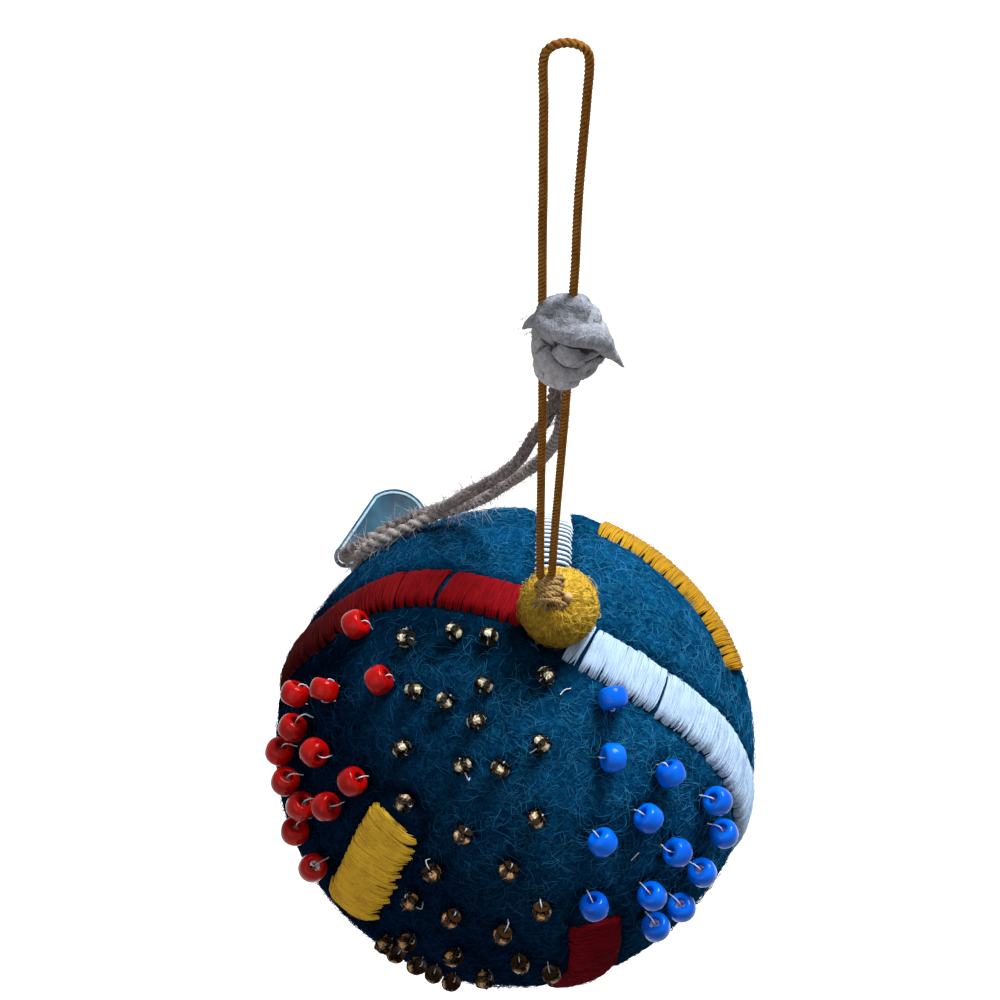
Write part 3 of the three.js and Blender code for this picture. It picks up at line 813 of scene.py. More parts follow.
wool = {
    "turns": 6.5, "pointsPerTurn": 48, "strand": 1.02, "tilt": 0.55, "tiltRate": 2.3, "tiltStart": 0.6,
    "step": 0.3 * mm, "foldStep": 0.25 * mm, "strandLumps": [(0.2, 330)], "sides": 14,
    "voxel": 0.15 * mm, "softenings": 5, "evenings": 130, "deepest": 0.13 * mm,
    "grain": [(0.045 * mm, 900), (0.027 * mm, 2400)],
    "hairs": 700, "foldHairs": 58, "hairRoot": 1.1 * mm, "hairLength": 2 * mm, "hairStand": 0.25,
    "hairThickness": 0.022 * mm,
    "shape": [(-0.7, -2.0, 3.5, 0.6), (-1.8, -2.3, 4.5, 1.2), (-3.6, -2.5, 5.2, 2.0), (-5.8, -2.7, 5.7, 2.3),
              (-8, -2.7, 5.3, 2.3), (-10, -2.5, 4.1, 2.1), (-11.7, -2.1, 2.6, 1.7)],
    "folds": [
        ([(-2.2, -1.2, -0.9), (-0.4, -2.3, -1.1), (1.8, -2.7, -1.5), (3.7, -2.2, -2.6), (4.7, -1.6, -4.4),
          (5.3, -1.2, -6.3), (6.3, -1.0, -8.1), (7.1, -1.0, -9.6)],
         [0.9, 1.25, 1.45, 1.4, 1.25, 0.95, 0.5, 0.14]),
        ([(0.0, -2.9, -3.3), (1.1, -3.4, -4.1), (2.3, -3.0, -5.4)], [1.0, 1.3, 1.0]),
        ([(-1.6, -2.2, -4.9), (-0.7, -3.1, -5.9), (1.0, -3.2, -7.3), (2.6, -2.2, -8.6)],
         [1.0, 1.3, 1.1, 0.9]),
        ([(-1.2, -1.8, -9.6), (0.6, -2.2, -10.1), (2.1, -1.6, -10.8)], [0.9, 1.15, 0.9]),
        ([(-1.7, -0.7, -0.7), (-0.3, -0.6, 0.5), (1.4, -0.6, 0.7), (3.1, -0.7, -0.5)],
         [0.8, 1.05, 1.1, 0.85]),
        ([(-1.6, -1.3, -1.3), (0.6, -1.9, -0.6), (3.3, -1.5, -1.7)], [0.9, 1.25, 1.0]),
        ([(-1.3, -1.1, -0.5), (0.7, -1.2, 0.2), (2.7, -1.1, -0.5)], [0.8, 1.0, 0.85]),
        ([(-1.0, -1.2, -0.8), (-2.2, -1.4, -1.1), (-3.0, -1.2, -2.0), (-3.6, -1.0, -3.1)],
         [1.0, 0.8, 0.45, 0.14]),
        ([(0.4, 0.1, -0.9), (1.1, 0.1, -2.8), (1.4, 0, -5.8), (0.6, 0, -10.6)], [1.2, 2.3, 2.9, 2.0]),
    ],
}


def woolLine():
    heights, lefts, rights, depths = (np.array(column)[::-1] for column in zip(*wool["shape"]))
    line = []
    for share in np.linspace(0, 1, round(wool["turns"] * wool["pointsPerTurn"]) + 1):
        height = heights[-1] + (heights[0] - heights[-1]) * share
        left, right, depth = (np.interp(height, heights, column) for column in (lefts, rights, depths))
        angle = 2 * math.pi * wool["turns"] * share
        reach = (right - left) / 2 - wool["strand"]
        tilt = wool["tilt"] * math.sin(wool["tiltRate"] * angle / (2 * math.pi) + wool["tiltStart"])
        across = (left + right) / 2 + reach * math.cos(angle)
        place = np.array([across, depth * math.sin(angle), height + tilt * math.cos(angle)])
        line.append(waist + place * mm)
    return smoothLine(line, wool["step"])


def windWool():
    # the winding and its folds as tubes, melted into one skin; also their middle lines
    line = woolLine()
    thickness = wool["strand"] * mm * (1 + lumps(line, wool["strandLumps"]))
    pieces = [tube("woolWinding", line, thickness, finishes["wool"], wool["sides"])]
    lines = [line]
    for places, sizes in wool["folds"]:
        fold = smoothLine([waist + np.array(place) * mm for place in places], wool["foldStep"])
        thickness = stretched(sizes, len(fold)) * mm
        pieces.append(tube("woolFold", fold, thickness, finishes["wool"], wool["sides"]))
        lines.append(fold)
    selectOnly(*pieces)
    bpy.ops.object.join()
    wound = pieces[0]
    addModifier(wound, "melt", "REMESH", mode="VOXEL", voxel_size=wool["voxel"])
    addModifier(wound, "soften", "SMOOTH", factor=0.5, iterations=wool["softenings"])
    applyAll(wound)
    return wound, lines


def makeWool():
    wound, lines = windWool()
    points, normals = pointsOf(wound.data), pointsOf(wound.data, "normal")
    # painted shade in the creases, where the wool's skin lies below a much smoothed copy of itself
    evened = copyOf(wound, "woolEvened", Matrix())
    addModifier(evened, "even", "SMOOTH", factor=1.0, iterations=wool["evenings"])
    applyAll(evened)
    sunk = np.sum((pointsOf(evened.data) - points) * normals, axis=1)
    bpy.data.objects.remove(evened)
    paintPoints(wound.data, "paintedShade", np.clip(sunk / wool["deepest"], 0, 1))
    movePoints(wound.data, points + normals * lumps(points, wool["grain"])[:, None])
    selectOnly(wound)
    bpy.ops.object.shade_smooth()
    attach(wound, "knot", "grey_wool", "wool_knot")
    hairs = []
    for i, line in enumerate(lines[:-1]):
        count = wool["foldHairs"] if i else wool["hairs"]
        hairs += fuzz(line, wool["hairRoot"], count, wool["hairLength"], wool["hairStand"])
    loose = strands("woolFuzz", hairs, wool["hairThickness"], finishes["woolHair"], tips=(1, 1, 0.6))
    attach(loose, "knot", "grey_wool")


makeWool()
print("wool ready")


# The bands: longitude and latitude along the middle line, as in the frame. In millimetres along a band:
# gaps are a place and a width, skews a place and a lean, and nicks a place, an edge and a depth. The
# edges say how ragged each one is.

stitch = {
    "pitch": 0.165 * mm, "pitchSpread": (0.93, 1.07), "strand": 0.12 * mm, "points": 13,
    "height": 0.95 * mm, "root": 0.3 * mm, "fullness": 3.4, "corner": 0.9 * mm,
    "skewJitter": 0.04 * mm, "edgeJitter": 0.05 * mm, "liftJitter": 0.02 * mm,
    "ripple": 0.05 * mm, "rippleLength": 0.56 * mm,
    "rungPitch": 1.1 * mm, "rung": 0.24 * mm, "rungLift": -0.3 * mm,
}
padding = {"strand": 0.28 * mm, "pitch": 0.42 * mm, "inset": 0.3 * mm, "lift": -0.27 * mm}
group = {
    "size": (0.9 * mm, 2.3 * mm), "depth": (0.2 * mm, 0.6 * mm), "shift": 0.13 * mm, "pinch": 0.13,
    "step": 0.05 * mm, "nickWidth": 0.22 * mm,
}
wisps = {"perMm": 9, "points": 4, "drift": 0.07 * mm, "lift": 0.06 * mm, "liftSpread": 0.12 * mm,
         "thickness": 0.022 * mm}
bands = {
    "band_red": {
        "finish": "red", "slot": "red_thread", "width": 5.8 * mm, "start": 3.4 * mm,
        "gaps": [(14.7, 1.2), (20.7, 0.6)], "edges": (1.0, 0.55),
        "skews": [(0, 0), (8, -0.1), (14.7, -0.4), (21, -0.1), (30, 0)], "nicks": [],
        "places": [(83, 81.5), (170, 86), (-132, 79), (-121, 67), (-115, 54), (-109, 44), (-105, 34),
                   (-105, 22), (-106, 11), (-108, -1), (-111, -13), (-114, -25)],
    },
    "band_white": {
        "finish": "white", "slot": "white_thread", "width": 6.4 * mm, "start": 3.4 * mm,
        "gaps": [(5.0, 0.6), (15.6, 0.75)], "edges": (0.5, 1.1), "skews": [(0, 0)],
        "nicks": [(7.6, 1, 1.8), (10.5, 1, 0.7), (21.2, 1, 1.6), (19, 1, 0.7)],
        "places": [(83, 81.5), (70, 72), (70, 62), (70, 52), (71, 42), (72, 30), (72, 18), (72, 6), (73, -6),
                   (74, -18), (75, -28)],
    },
    "band_silver": {
        "finish": "silver", "slot": "silver_thread", "width": 4.4 * mm, "start": 4.2 * mm, "gaps": [],
        "edges": (0.15, 0.15), "skews": [(0, 0)], "nicks": [],
        "places": [(83, 81.5), (143, 76), (154, 70), (161, 61), (165, 51), (168, 40), (171, 28), (173, 16),
                   (174, 4), (175, -8)],
    },
    "band_yellow_upper": {
        "finish": "yellow", "slot": "yellow_thread", "width": 7.4 * mm, "start": 0, "gaps": [],
        "edges": (2.0, 0.9), "skews": [(0, 0)], "nicks": [],
        "places": [(152, 40), (144, 39), (136, 37), (128, 35), (120, 32), (112, 28), (105, 25), (99, 22)],
    },
    "band_yellow_lower": {
        "finish": "yellow", "slot": "yellow_thread", "width": 7.4 * mm, "start": 0, "gaps": [],
        "edges": (2.1, 0.5), "skews": [(0, 0), (5, 0.3), (15, 1.1), (20, 1.2)],
        "nicks": [(4.6, -1, 1.1), (9.8, -1, 1.7), (13.4, -1, 1.9), (16.4, -1, 1.5)],
        "places": [(-35, 35), (-37, 27), (-38, 19), (-40, 9), (-43, -2)],
    },
    "band_dark_red": {
        "finish": "darkRed", "slot": "dark_red_thread", "width": 6.6 * mm, "start": 0, "gaps": [],
        "edges": (0.6, 0.6), "skews": [(0, 0)], "nicks": [],
        "places": [(19, 12), (19, 6), (19, -1), (19, -9), (18, -17), (17, -25), (15, -33)],
    },
}
for band in bands.values():
    # the middle line on a ball of radius 1, and a coarser one to measure from
    band["line"] = unit(smoothLine([toward(*place) for place in band["places"]], 0.1 * mm / ballRadius))
    band["coarse"] = band["line"][::6]


def groupsAlong(length, ragged, nicks):
    # the stitches lie in rounded groups: how far a band's edge reaches, and how each group's tip draws
    # together
    at = np.arange(0, length + 2 * group["step"], group["step"])
    reach, pinch = np.zeros_like(at), np.zeros_like(at)
    start = 0
    while start < length:
        size = dice.uniform(*group["size"])
        inside = (at >= start) & (at < start + size)
        u = 2 * (at[inside] - start) / size - 1
        depth = dice.uniform(*group["depth"]) * ragged
        rounding = 1 - np.sqrt(np.clip(1 - u**4, 0, 1))
        reach[inside] = dice.normal(0, group["shift"]) * ragged - depth * rounding
        pinch[inside] = -group["pinch"] * min(1, ragged) * size * u
        start += size
    for place, depth in nicks:
        reach -= bell(at - place * mm, depth * mm, group["nickWidth"])
    return at, reach, pinch


def stitchLine(band, at, half, pinch, skew, lift):
    # one strand across the band, over the felt and down into it at both edges
    line = band["line"]
    i = int(np.clip(at / ballRadius / lineLength(line) * (len(line) - 1), 1, len(line) - 2))
    out = line[i]
    forward = unit(line[i + 1] - line[i - 1])
    side = np.cross(forward, out)
    u = np.linspace(-1, 1, stitch["points"])
    wide = np.where(u < 0, half[0], half[1]) / ballRadius
    shift = skew * u + np.where(u < 0, pinch[0], pinch[1]) * np.abs(u) ** 4
    height = np.sqrt(np.clip(1 - np.abs(u) ** stitch["fullness"], 0, 1))
    across = out * np.cos(u * wide)[:, None] + side * np.sin(u * wide)[:, None]
    ways = unit(across + forward * (shift / ballRadius)[:, None])
    return ballCentre + ways * (ballRadius - stitch["root"] + (stitch["height"] + lift) * height)[:, None]


def wispsOf(fine, length):
    # loose fibres that stray from the stitches
    lines = []
    count = wisps["points"]
    for pick in dice.integers(0, len(fine), round(length / mm * wisps["perMm"])):
        line = fine[pick]
        first = dice.integers(0, len(line) - count)
        part = line[first:first + count]
        drift = np.cumsum(dice.normal(0, wisps["drift"], (count, 3)), axis=0)
        lift = wisps["lift"] + wisps["liftSpread"] * dice.random(count)[:, None]
        lines.append(part + unit(part - ballCentre) * lift + drift)
    return lines


def makeBand(node):
    band = bands[node]
    finish = finishes[band["finish"]]
    length = lineLength(band["line"]) * ballRadius
    rungs = band["finish"] == "silver"    # single bars with felt between them
    pitch = stitch["rungPitch"] if rungs else stitch["pitch"]
    edges = [
        groupsAlong(length, ragged, [(place, depth) for place, way, depth in band["nicks"] if way == edge])
        for ragged, edge in zip(band["edges"], (-1, 1))
    ]
    skewAt, skews = np.array(band["skews"]).T * mm
    fine, under = [], []
    at, nextUnder = band["start"], 0
    while at < length:
        if not any(abs(at - middle * mm) < gap * mm / 2 for middle, gap in band["gaps"]):
            corner = stitch["corner"] * max(0, 1 - min(at, length - at) / stitch["corner"]) ** 2
            reaches = np.array([np.interp(at, where, reach) for where, reach, _ in edges])
            half = band["width"] / 2 - corner + reaches
            pinch = [np.interp(at, where, draw) for where, _, draw in edges]
            skew = np.interp(at, skewAt, skews) + dice.normal(0, stitch["skewJitter"])
            jitter = dice.normal(0, stitch["edgeJitter"], 2)
            wave = stitch["ripple"] * math.cos(2 * math.pi * at / stitch["rippleLength"])
            lift = wave + dice.normal(0, stitch["liftJitter"])
            if rungs:
                lift = stitch["rungLift"]
            fine.append(stitchLine(band, at, half + jitter, pinch, skew, lift))
            if at >= nextUnder:
                under.append(stitchLine(band, at, half - padding["inset"], pinch, skew, padding["lift"]))
                nextUnder = at + padding["pitch"]
        at += pitch * dice.uniform(*stitch["pitchSpread"])
    thickness = stitch["rung"] if rungs else stitch["strand"]
    stitches = strands(node + "_stitches", fine, thickness, finish, 1, (0.6, 1, 1, 1, 1, 1, 0.6))
    attach(stitches, "ball", band["slot"], node)
    if rungs:
        return
    filling = strands(node + "_padding", under, padding["strand"], finish, 1, (0.5, 1, 1, 1, 1, 1, 0.5))
    attach(filling, "ball", band["slot"])
    hairs = strands(node + "_fuzz", wispsOf(fine, length), wisps["thickness"], finish)
    attach(hairs, "ball", band["slot"])


for node in bands:
    makeBand(node)
print("bands ready")


# Beads

toViewer = np.array([0, -0.5, math.sqrt(3) / 2])


def beadFrame(node):
    # where a bead lies: its middle, the way out of the ball and the way of its hole, towards the viewer
    points = pointsOf(frame["nodes"][node].data)
    middle = points.mean(0)
    out = unit(middle - ballCentre)
    flat = points - middle
    flat -= np.outer(flat @ out, out)
    hole = np.linalg.eigh(flat.T @ flat)[1][:, -1]
    return middle, out, hole * (1 if hole @ toViewer > 0 else -1)


def frameMatrix(middle, out, hole):
    other = np.cross(out, hole)
    matrix = np.eye(4)
    matrix[:3, 0], matrix[:3, 1], matrix[:3, 2], matrix[:3, 3] = hole, other, out, middle
    return Matrix(matrix.tolist())


roundBead = {
    "outer": 1.75 * mm, "hole": 0.74 * mm, "halfLength": 1.3 * mm, "fullness": 0.75, "holeBulge": 0.1 * mm,
}
goldBead = {
    "outer": 0.95 * mm, "hole": 0.3 * mm, "halfLength": 0.8 * mm, "rounding": 0.24 * mm, "facets": 4,
    "seat": 0.3 * mm,
}
# the low gold beads have no node: longitude, latitude and the turn of the hole
lowGoldBeads = [
    (-2, 32, 60), (-25, 18, -25), (-15, 17, 60), (6, 21, 90), (-25, 3, 20), (-3, 14, 70), (-14, 3, 30),
    (1, 3, 100), (-28, -6, 60), (-31, -4, 0), (-23, -8, 45), (-19, -10, 80), (-7, -6, 20), (-15, -13, 60),
    (8, -3, 110),
]
sewing = {"thickness": 0.075 * mm, "step": 0.2 * mm, "loosely": 0.2, "standOff": (0.3, 1), "lean": 0.3}
loose = {
    "places": [((28.6, 69.2), (32.7, 69.7), (36.6, 69.3)), ((30.2, 26.6), (31.6, 27.1), (32.8, 27.5))],
    "height": 0.35 * mm, "step": 0.25 * mm,
}


def modelRoundBead():
    wall = roundBead["outer"] - roundBead["hole"]
    ring, section = 3 * mm, 1 * mm
    bpy.ops.object.select_all(action="DESELECT")
    bpy.ops.mesh.primitive_torus_add(
        major_radius=ring, minor_radius=section, major_segments=40, minor_segments=28,
        rotation=(0, math.pi / 2, 0),
    )
    bead = bpy.context.object
    bpy.ops.object.transform_apply(location=True, rotation=True, scale=True)
    for vertex in bead.data.vertices:
        # the ring's section becomes a full half ellipse over a nearly straight hole
        x, y, z = vertex.co
        far = math.hypot(y, z)
        out = (far - ring) / section
        full = abs(out) ** roundBead["fullness"]
        size = (roundBead["hole"] + (wall * full if out > 0 else -roundBead["holeBulge"] * full)) / far
        end = math.copysign(abs(x / section) ** roundBead["fullness"], x) * roundBead["halfLength"]
        vertex.co = (end, y * size, z * size)
    bpy.ops.object.shade_smooth()
    return bead


def modelGoldBead():
    bpy.ops.object.select_all(action="DESELECT")
    bpy.ops.mesh.primitive_cylinder_add(
        vertices=32, radius=goldBead["outer"], depth=2 * goldBead["halfLength"], rotation=(0, math.pi / 2, 0)
    )
    bead = bpy.context.object
    bpy.ops.object.transform_apply(location=True, rotation=True, scale=True)
    for face in bead.data.polygons:
        face.select = abs(face.normal.x) > 0.9
    for part in (*bead.data.edges, *bead.data.vertices):
        part.select = False
    bpy.ops.object.mode_set(mode="EDIT")
    bpy.ops.mesh.select_mode(type="FACE")
    bpy.ops.mesh.inset(thickness=goldBead["outer"] - goldBead["hole"], use_individual=True)
    bpy.ops.mesh.bridge_edge_loops()
    bpy.ops.object.mode_set(mode="OBJECT")
    addModifier(bead, "rounding", "BEVEL", width=goldBead["rounding"], segments=3, limit_method="ANGLE",
                angle_limit=math.radians(40))
    applyAll(bead)
    bpy.ops.object.shade_smooth_by_angle(angle=math.radians(50))
    x, y, z = pointsOf(bead.data).T
    outside = np.hypot(y, z) > 0.8 * goldBead["outer"]
    paintPoints(bead.data, "facet", np.where(outside, np.cos(goldBead["facets"] * np.arctan2(z, y)), -1))
    paintPoints(bead.data, "reach", np.abs(x) / goldBead["halfLength"])
    return bead


def sewingLine(middle, out, hole, halfLength, height):
    # the thread comes up out of the felt, runs through the bead and goes down again round its end; now
    # and then it stands off a little on the way down
    off = dice.uniform(*sewing["standOff"]) * mm if dice.random() < sewing["loosely"] else 0
    path = [
        (-halfLength + 0.4 * mm, -height - 0.4 * mm), (-halfLength + 0.2 * mm, -height * 0.85),
        (-halfLength - 0.08 * mm, -height * 0.5), (-halfLength - 0.06 * mm, -height * 0.12),
        (-halfLength * 0.6, 0), (halfLength * 0.6, 0), (halfLength + 0.06 * mm + off * 0.4, -height * 0.1),
        (halfLength + 0.08 * mm + off, -height * 0.5), (halfLength - 0.2 * mm + off * 1.2, -height * 0.85),
        (halfLength - 0.4 * mm + off * 1.2, -height - 0.4 * mm),
    ]
    lean = np.cross(out, hole) * dice.uniform(-sewing["lean"], sewing["lean"])
    places = [middle + hole * end + out * high + lean * max(0, end - halfLength) for end, high in path]
    return smoothLine(places, sewing["step"])


def lowGoldPlace(lon, lat, turn):
    out = toward(lon, lat)
    east = toward(lon + 90, 0)
    hole = east * math.cos(math.radians(turn)) + np.cross(out, east) * math.sin(math.radians(turn))
    return ballCentre + out * (ballRadius + goldBead["seat"] + goldBead["outer"]), out, hole


def makeBeads():
    threads = []
    ways = {"roundBeads": [], "goldBeads": []}
    nodes = {
        colour: sorted(node for node in frame["nodes"] if node.startswith(colour + "_bead"))
        for colour in ("red", "blue", "gold")
    }
    bead = modelRoundBead()
    for colour, slot in (("red", "red_glass"), ("blue", "blue_glass")):
        bead.data.materials.clear()
        bead.data.materials.append(finishes[colour + "Bead"])
        for node in nodes[colour]:
            middle, out, hole = beadFrame(node)
            piece = copyOf(bead, node + "_round", frameMatrix(middle, out, hole))
            attach(piece, "ball", slot, node)
            threads.append(sewingLine(middle, out, hole, roundBead["halfLength"], roundBead["outer"]))
            ways["roundBeads"].append(out)
    bpy.data.objects.remove(bead)

    gold = modelGoldBead()
    gold.data.materials.append(finishes["gold"])
    places = [(node + "_glass", beadFrame(node), [node]) for node in nodes["gold"]]
    places += [(f"low_gold_bead_{i + 1}", lowGoldPlace(*low), []) for i, low in enumerate(lowGoldBeads)]
    for name, (middle, out, hole), replaced in places:
        spin = Matrix.Rotation(dice.uniform(0, 2 * math.pi), 4, "X")
        piece = copyOf(gold, name, frameMatrix(middle, out, hole) @ spin)
        attach(piece, "ball", "gold_glass", *replaced)
        threads.append(sewingLine(middle, out, hole, goldBead["halfLength"], goldBead["outer"]))
        ways["goldBeads"].append(out)
    bpy.data.objects.remove(gold)

    # two stubs of thread where beads have come off
    for stub in loose["places"]:
        route = [ballCentre + toward(*place) * (ballRadius + loose["height"]) for place in stub]
        threads.append(smoothLine(route, loose["step"]))
    thread = strands("bead_threads", threads, sewing["thickness"], finishes["sewing"], 1)
    attach(thread, "ball", "white_thread")
    return ways


beadWays = makeBeads()
print("beads ready")


# The felt ball. What is sewn on presses it in, and painted shade darkens the felt beside and round it. Each
# row says how deep, or how dark the painted shade is, how far that reaches, and how sharply it ends.

felt = {
    "inside": 26 * mm, "lumps": [(0.2 * mm, 3), (0.09 * mm, 14), (0.07 * mm, 34)],
    "hairs": 12000, "hairLength": 3.6 * mm, "hairLift": 0.28 * mm, "hairCurl": 1.2,
    "hairThickness": 0.03 * mm, "hairClearance": 0.1 * mm, "hairGroups": 4,
}
dents = {
    "roundBeads": {"press": (0.22 * mm, 1.6 * mm, 2), "dark": (0.8, 2.2 * mm, 4)},
    "goldBeads": {"press": (0.3 * mm, 1.1 * mm, 2), "dark": (0.95, 1.45 * mm, 4)},
    "pompom": {"press": (0.3 * mm, 3.4 * mm, 4), "dark": (0.8, 4.6 * mm, 6)},
}
seam = {
    "under": 0.15 * mm, "press": (0.32 * mm, 0.7 * mm, 2), "dark": (0.55, 1.1 * mm, 2),
    "swell": (0.14 * mm, 1.2 * mm, 2), "swellAt": 2 * mm,
}
# the red band's shadow, painted on the felt in front of it, and the share of its hairs left out there
shadow = {"dark": (0.82, 10 * mm, 4), "hairsLost": 0.9}


def nearest(directions, way):
    # how far each direction lies from the way, or from the nearest of several, over the ball
    cosine = directions @ np.atleast_2d(way).T
    return np.arccos(np.clip(np.max(cosine, axis=1), -1, 1)) * ballRadius


def shadowOf(band, directions):
    # the shadow that a band casts on the felt in front of it
    line = band["coarse"]
    place = line[np.argmax(directions @ line.T, axis=1)]
    return (directions[:, 1] < place[:, 1]) * bell(nearest(directions, line), *shadow["dark"])


def pressFelt(ways):
    # how far the felt stands out in each direction, and how dark its painted shade is there
    press = np.zeros(len(ways))
    paintedShade = shadowOf(bands["band_red"], ways)
    for band in bands.values():
        beside = nearest(ways, band["coarse"]) - band["width"] / 2
        paintedShade = np.maximum(paintedShade, bell(beside, *seam["dark"]) * (beside > -1 * mm))
        press -= bell(beside, *seam["press"])
        press -= seam["under"] * (beside < 0)
        press += bell(beside - seam["swellAt"], *seam["swell"])
    for kind, outs in (*beadWays.items(), ("pompom", [pole])):
        for out in outs:
            near = nearest(ways, out)
            press -= bell(near, *dents[kind]["press"])
            paintedShade = np.maximum(paintedShade, bell(near, *dents[kind]["dark"]))
    return press + lumps(ways, felt["lumps"]), paintedShade


def makeFelt():
    inside = newBall("feltInside", felt["inside"], 5, ballCentre)
    bpy.ops.object.mode_set(mode="EDIT")
    bpy.ops.mesh.select_all(action="SELECT")
    bpy.ops.mesh.flip_normals()
    bpy.ops.object.mode_set(mode="OBJECT")
    cover = newBall("feltCover", ballRadius, 7)
    ways = unit(pointsOf(cover.data))
    press, paintedShade = pressFelt(ways)
    movePoints(cover.data, ballCentre + ways * (ballRadius + press)[:, None])
    paintPoints(cover.data, "paintedShade", paintedShade)
    for piece in (cover, inside):
        piece.data.materials.append(finishes["felt"])
    selectOnly(cover, inside)
    bpy.ops.object.join()
    attach(cover, "ball", "teal_felt", "felt_cover")


creep = {
    "lengths": (0.3, 1), "root": 0.08 * mm, "clear": 0.05 * mm, "lift": 0.6, "free": 0.25, "freeRise": 1.4,
    "settle": 1.02, "wander": 0.12, "astray": 0.55,
}


def surfaceHairs(centre, radius, coat, parting=None):
    # hairs that creep over a ball: they start under the surface, rise a little and curl, and lie away
    # from the parting if there is one
    count = coat["hairs"]
    place = unit(dice.normal(size=(count, 3)))
    way = unit(np.cross(place, dice.normal(size=(count, 3))))
    if parting is not None:
        combed = place * np.sum(place * parting, axis=1, keepdims=True) - parting
        way = unit(unit(combed) + creep["astray"] * way)
    reach = coat["hairLength"] * dice.uniform(*creep["lengths"], count) / hairParts
    turn = dice.normal(0, coat["hairCurl"], count) / hairParts
    high = coat["hairLift"] * dice.exponential(creep["lift"], count)
    free = dice.random(count) < creep["free"]
    lines = [centre + place * (radius - creep["root"])]
    for part in range(1, hairParts + 1):
        place = unit(place + way * (reach / radius)[:, None])
        way = unit(way - place * np.sum(way * place, axis=1, keepdims=True))
        other = np.cross(place, way)
        swerve = turn + dice.normal(0, creep["wander"], count)
        way = unit(way * np.cos(swerve)[:, None] + other * np.sin(swerve)[:, None])
        share = part / hairParts
        arch = np.where(free, share ** creep["freeRise"], math.sin(math.pi * min(1, share * creep["settle"])))
        lines.append(centre + place * (radius + creep["clear"] + high * arch)[:, None])
    return np.stack(lines, axis=1)


def makeFeltHairs():
    hairs = surfaceHairs(ballCentre, ballRadius, felt)
    covered = np.zeros(len(hairs), bool)
    for k in range(hairs.shape[1]):
        for band in bands.values():
            distance = nearest(unit(hairs[:, k] - ballCentre), band["coarse"])
            covered |= distance < band["width"] / 2 + felt["hairClearance"]
    # fewer hairs where the red band's shadow is painted, so that it stays dark
    shaded = shadowOf(bands["band_red"], unit(hairs[:, hairParts // 2] - ballCentre))
    hairs = hairs[~covered & (dice.random(len(hairs)) > shadow["hairsLost"] * shaded)]
    thickness = felt["hairThickness"]
    for i, part in enumerate(np.array_split(hairs, felt["hairGroups"])):
        piece = strands(f"feltHairs{i + 1}", part, thickness, finishes["feltHair"], 0, (1, 1, 0.5))
        attach(piece, "ball", "teal_felt")


makeFelt()
makeFeltHairs()
print("felt ball ready")


# The pompom, flattened where it sits on the ball

def makePompom():
    felted = newBall("pompomFelt", pompom["radius"], 6)
    ways = unit(pointsOf(felted.data))
    points = pompomMiddle + ways * (pompom["radius"] + lumps(ways, pompom["lumps"]) * mm)[:, None]
    height = np.linalg.norm(points - ballCentre, axis=1)
    foot = ballRadius + pompom["foot"]
    points = ballCentre + (points - ballCentre) * (np.maximum(height, foot) / height)[:, None]
    movePoints(felted.data, points)
    felted.data.materials.append(finishes["ochre"])
    attach(felted, "ball", "ochre_felt", "pompom")
    hairs = surfaceHairs(pompomMiddle, pompom["radius"], pompom, toward(hitch["lon"], hitch["lat"]))
    clear = np.linalg.norm(hairs - ballCentre, axis=2).min(axis=1) > ballRadius + pompom["hairFoot"]
    thickness = pompom["hairThickness"]
    piece = strands("pompomHairs", hairs[clear], thickness, finishes["ochreHair"], 0, (1, 1, 0.5))
    attach(piece, "ball", "ochre_felt")


makePompom()
print("pompom ready")


# The tag, a drop of two round ends: its hole is at the small one, and a pale line of painted highlight rims
# the wide one

tag = {
    "length": 7.6 * mm, "end": 4.6 * mm, "holeEnd": 1.5 * mm, "hole": 1.0 * mm, "thickness": 1 * mm,
    "turn": 34, "border": 0.3 * mm, "recess": 0.12 * mm, "rimFrom": 2.4 * mm, "rounding": 0.1 * mm,
}


def tagFinishes():
    enamel, n, shader, place = principled("blueEnamel", (0.02, 0.09, 0.16), 0.12, 0.3)
    cloud = n.patches(place, 260, 0.35, 0.65, 3.0)
    n.put(shader.inputs["Base Color"], n.blend(cloud, (0.006, 0.045, 0.085), (0.03, 0.12, 0.19)))
    # the raised rim's painted highlight
    rim, n, shader, place = principled("rimHighlight", (0.35, 0.5, 0.62), 0.25, 0.3)
    n.put(shader.inputs["Base Color"], n.blend(n.patches(place, 900), (0.25, 0.4, 0.52), (0.5, 0.66, 0.78)))
    return enamel, rim


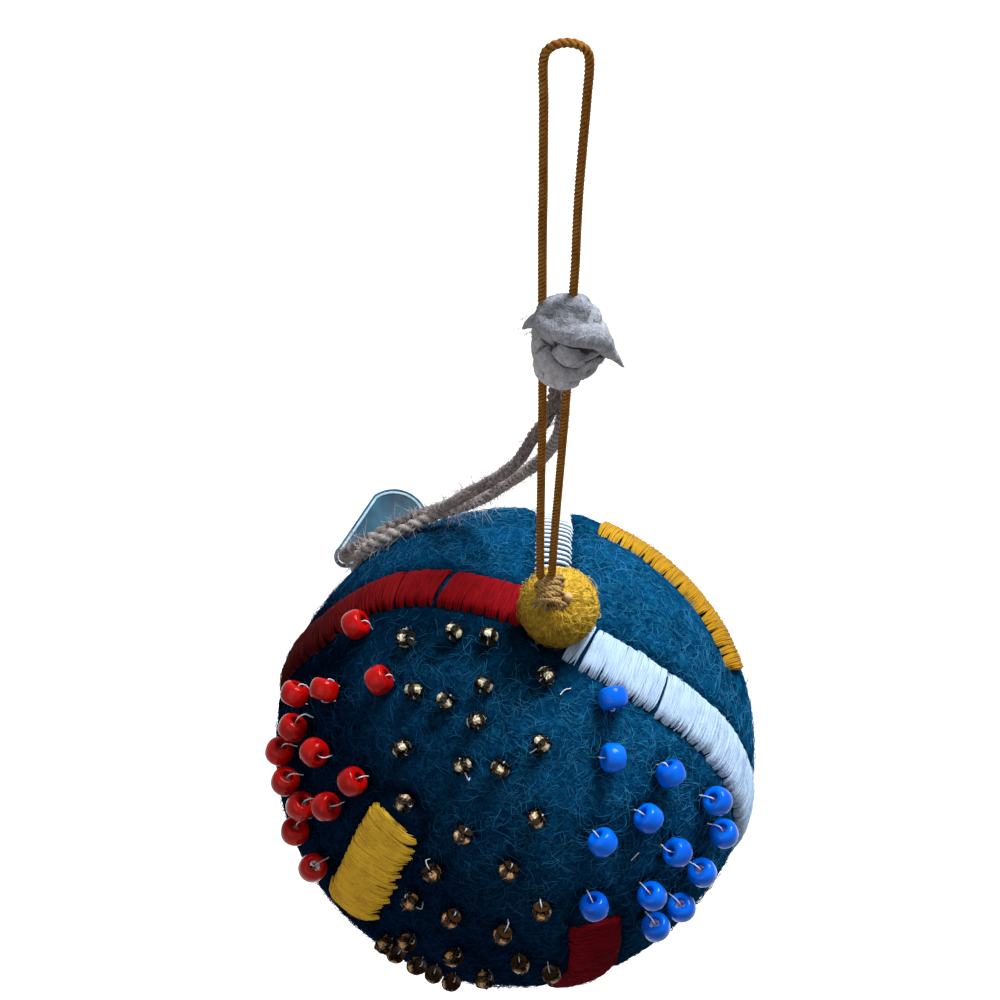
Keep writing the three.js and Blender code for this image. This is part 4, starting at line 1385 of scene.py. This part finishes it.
def makeTag():
    bpy.ops.object.select_all(action="DESELECT")
    bpy.ops.mesh.primitive_circle_add(vertices=96, radius=tag["end"], fill_type="NGON")
    drop = bpy.context.object
    drop.name = "tagDrop"
    for finish in tagFinishes():
        drop.data.materials.append(finish)
    flank = math.acos((tag["holeEnd"] - tag["end"]) / tag["length"])
    for vertex in drop.data.vertices:
        way = vertex.co.normalized()
        if abs(math.atan2(way.y, way.x)) > math.pi - flank + 1e-6 and way.x < 0:
            vertex.co = way * tag["holeEnd"]
        else:
            vertex.co += Vector((tag["length"], 0, 0))
    bpy.ops.object.mode_set(mode="EDIT")
    bpy.ops.mesh.select_mode(type="FACE")
    bpy.ops.mesh.select_all(action="SELECT")
    bpy.ops.transform.translate(value=(0, 0, -tag["thickness"] / 2))
    bpy.ops.mesh.extrude_region_move(TRANSFORM_OT_translate={"value": (0, 0, tag["thickness"])})
    for finishIndex in (1, 0):
        bpy.ops.mesh.inset(thickness=tag["border"])
        drop.active_material_index = finishIndex
        bpy.ops.object.material_slot_assign()
    bpy.ops.mesh.extrude_region_move(TRANSFORM_OT_translate={"value": (0, 0, -tag["recess"])})
    bpy.ops.object.mode_set(mode="OBJECT")
    for face in drop.data.polygons:
        if face.center.x < tag["rimFrom"]:
            face.material_index = 0
    addModifier(drop, "edge", "BEVEL", width=tag["rounding"], segments=3, limit_method="ANGLE")
    applyAll(drop)
    bpy.ops.object.select_all(action="DESELECT")
    bpy.ops.mesh.primitive_cylinder_add(vertices=40, radius=tag["hole"], depth=6 * tag["thickness"])
    punch = bpy.context.object
    addModifier(drop, "hole", "BOOLEAN", operation="DIFFERENCE", object=punch)
    applyAll(drop)
    bpy.data.objects.remove(punch)
    selectOnly(drop)
    bpy.ops.object.shade_smooth_by_angle(angle=math.radians(35))
    right = np.array([1, 0, 0])
    turn = math.radians(tag["turn"])
    turned = math.cos(turn) * right + math.sin(turn) * np.cross(toViewer, right)
    drop.data.transform(frameMatrix(jointPlace["tag_swing"], toViewer, turned))
    attach(drop, "tag", "blue_tag", "tag")


makeTag()
print("tag ready")


# The nodes that stay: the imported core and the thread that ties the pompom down

for node, finish in (("core_ball", "core"), ("anchor_thread", "ochreHair")):
    kept = frame["nodes"][node]
    kept.data.materials.clear()
    kept.data.materials.append(finishes[finish])
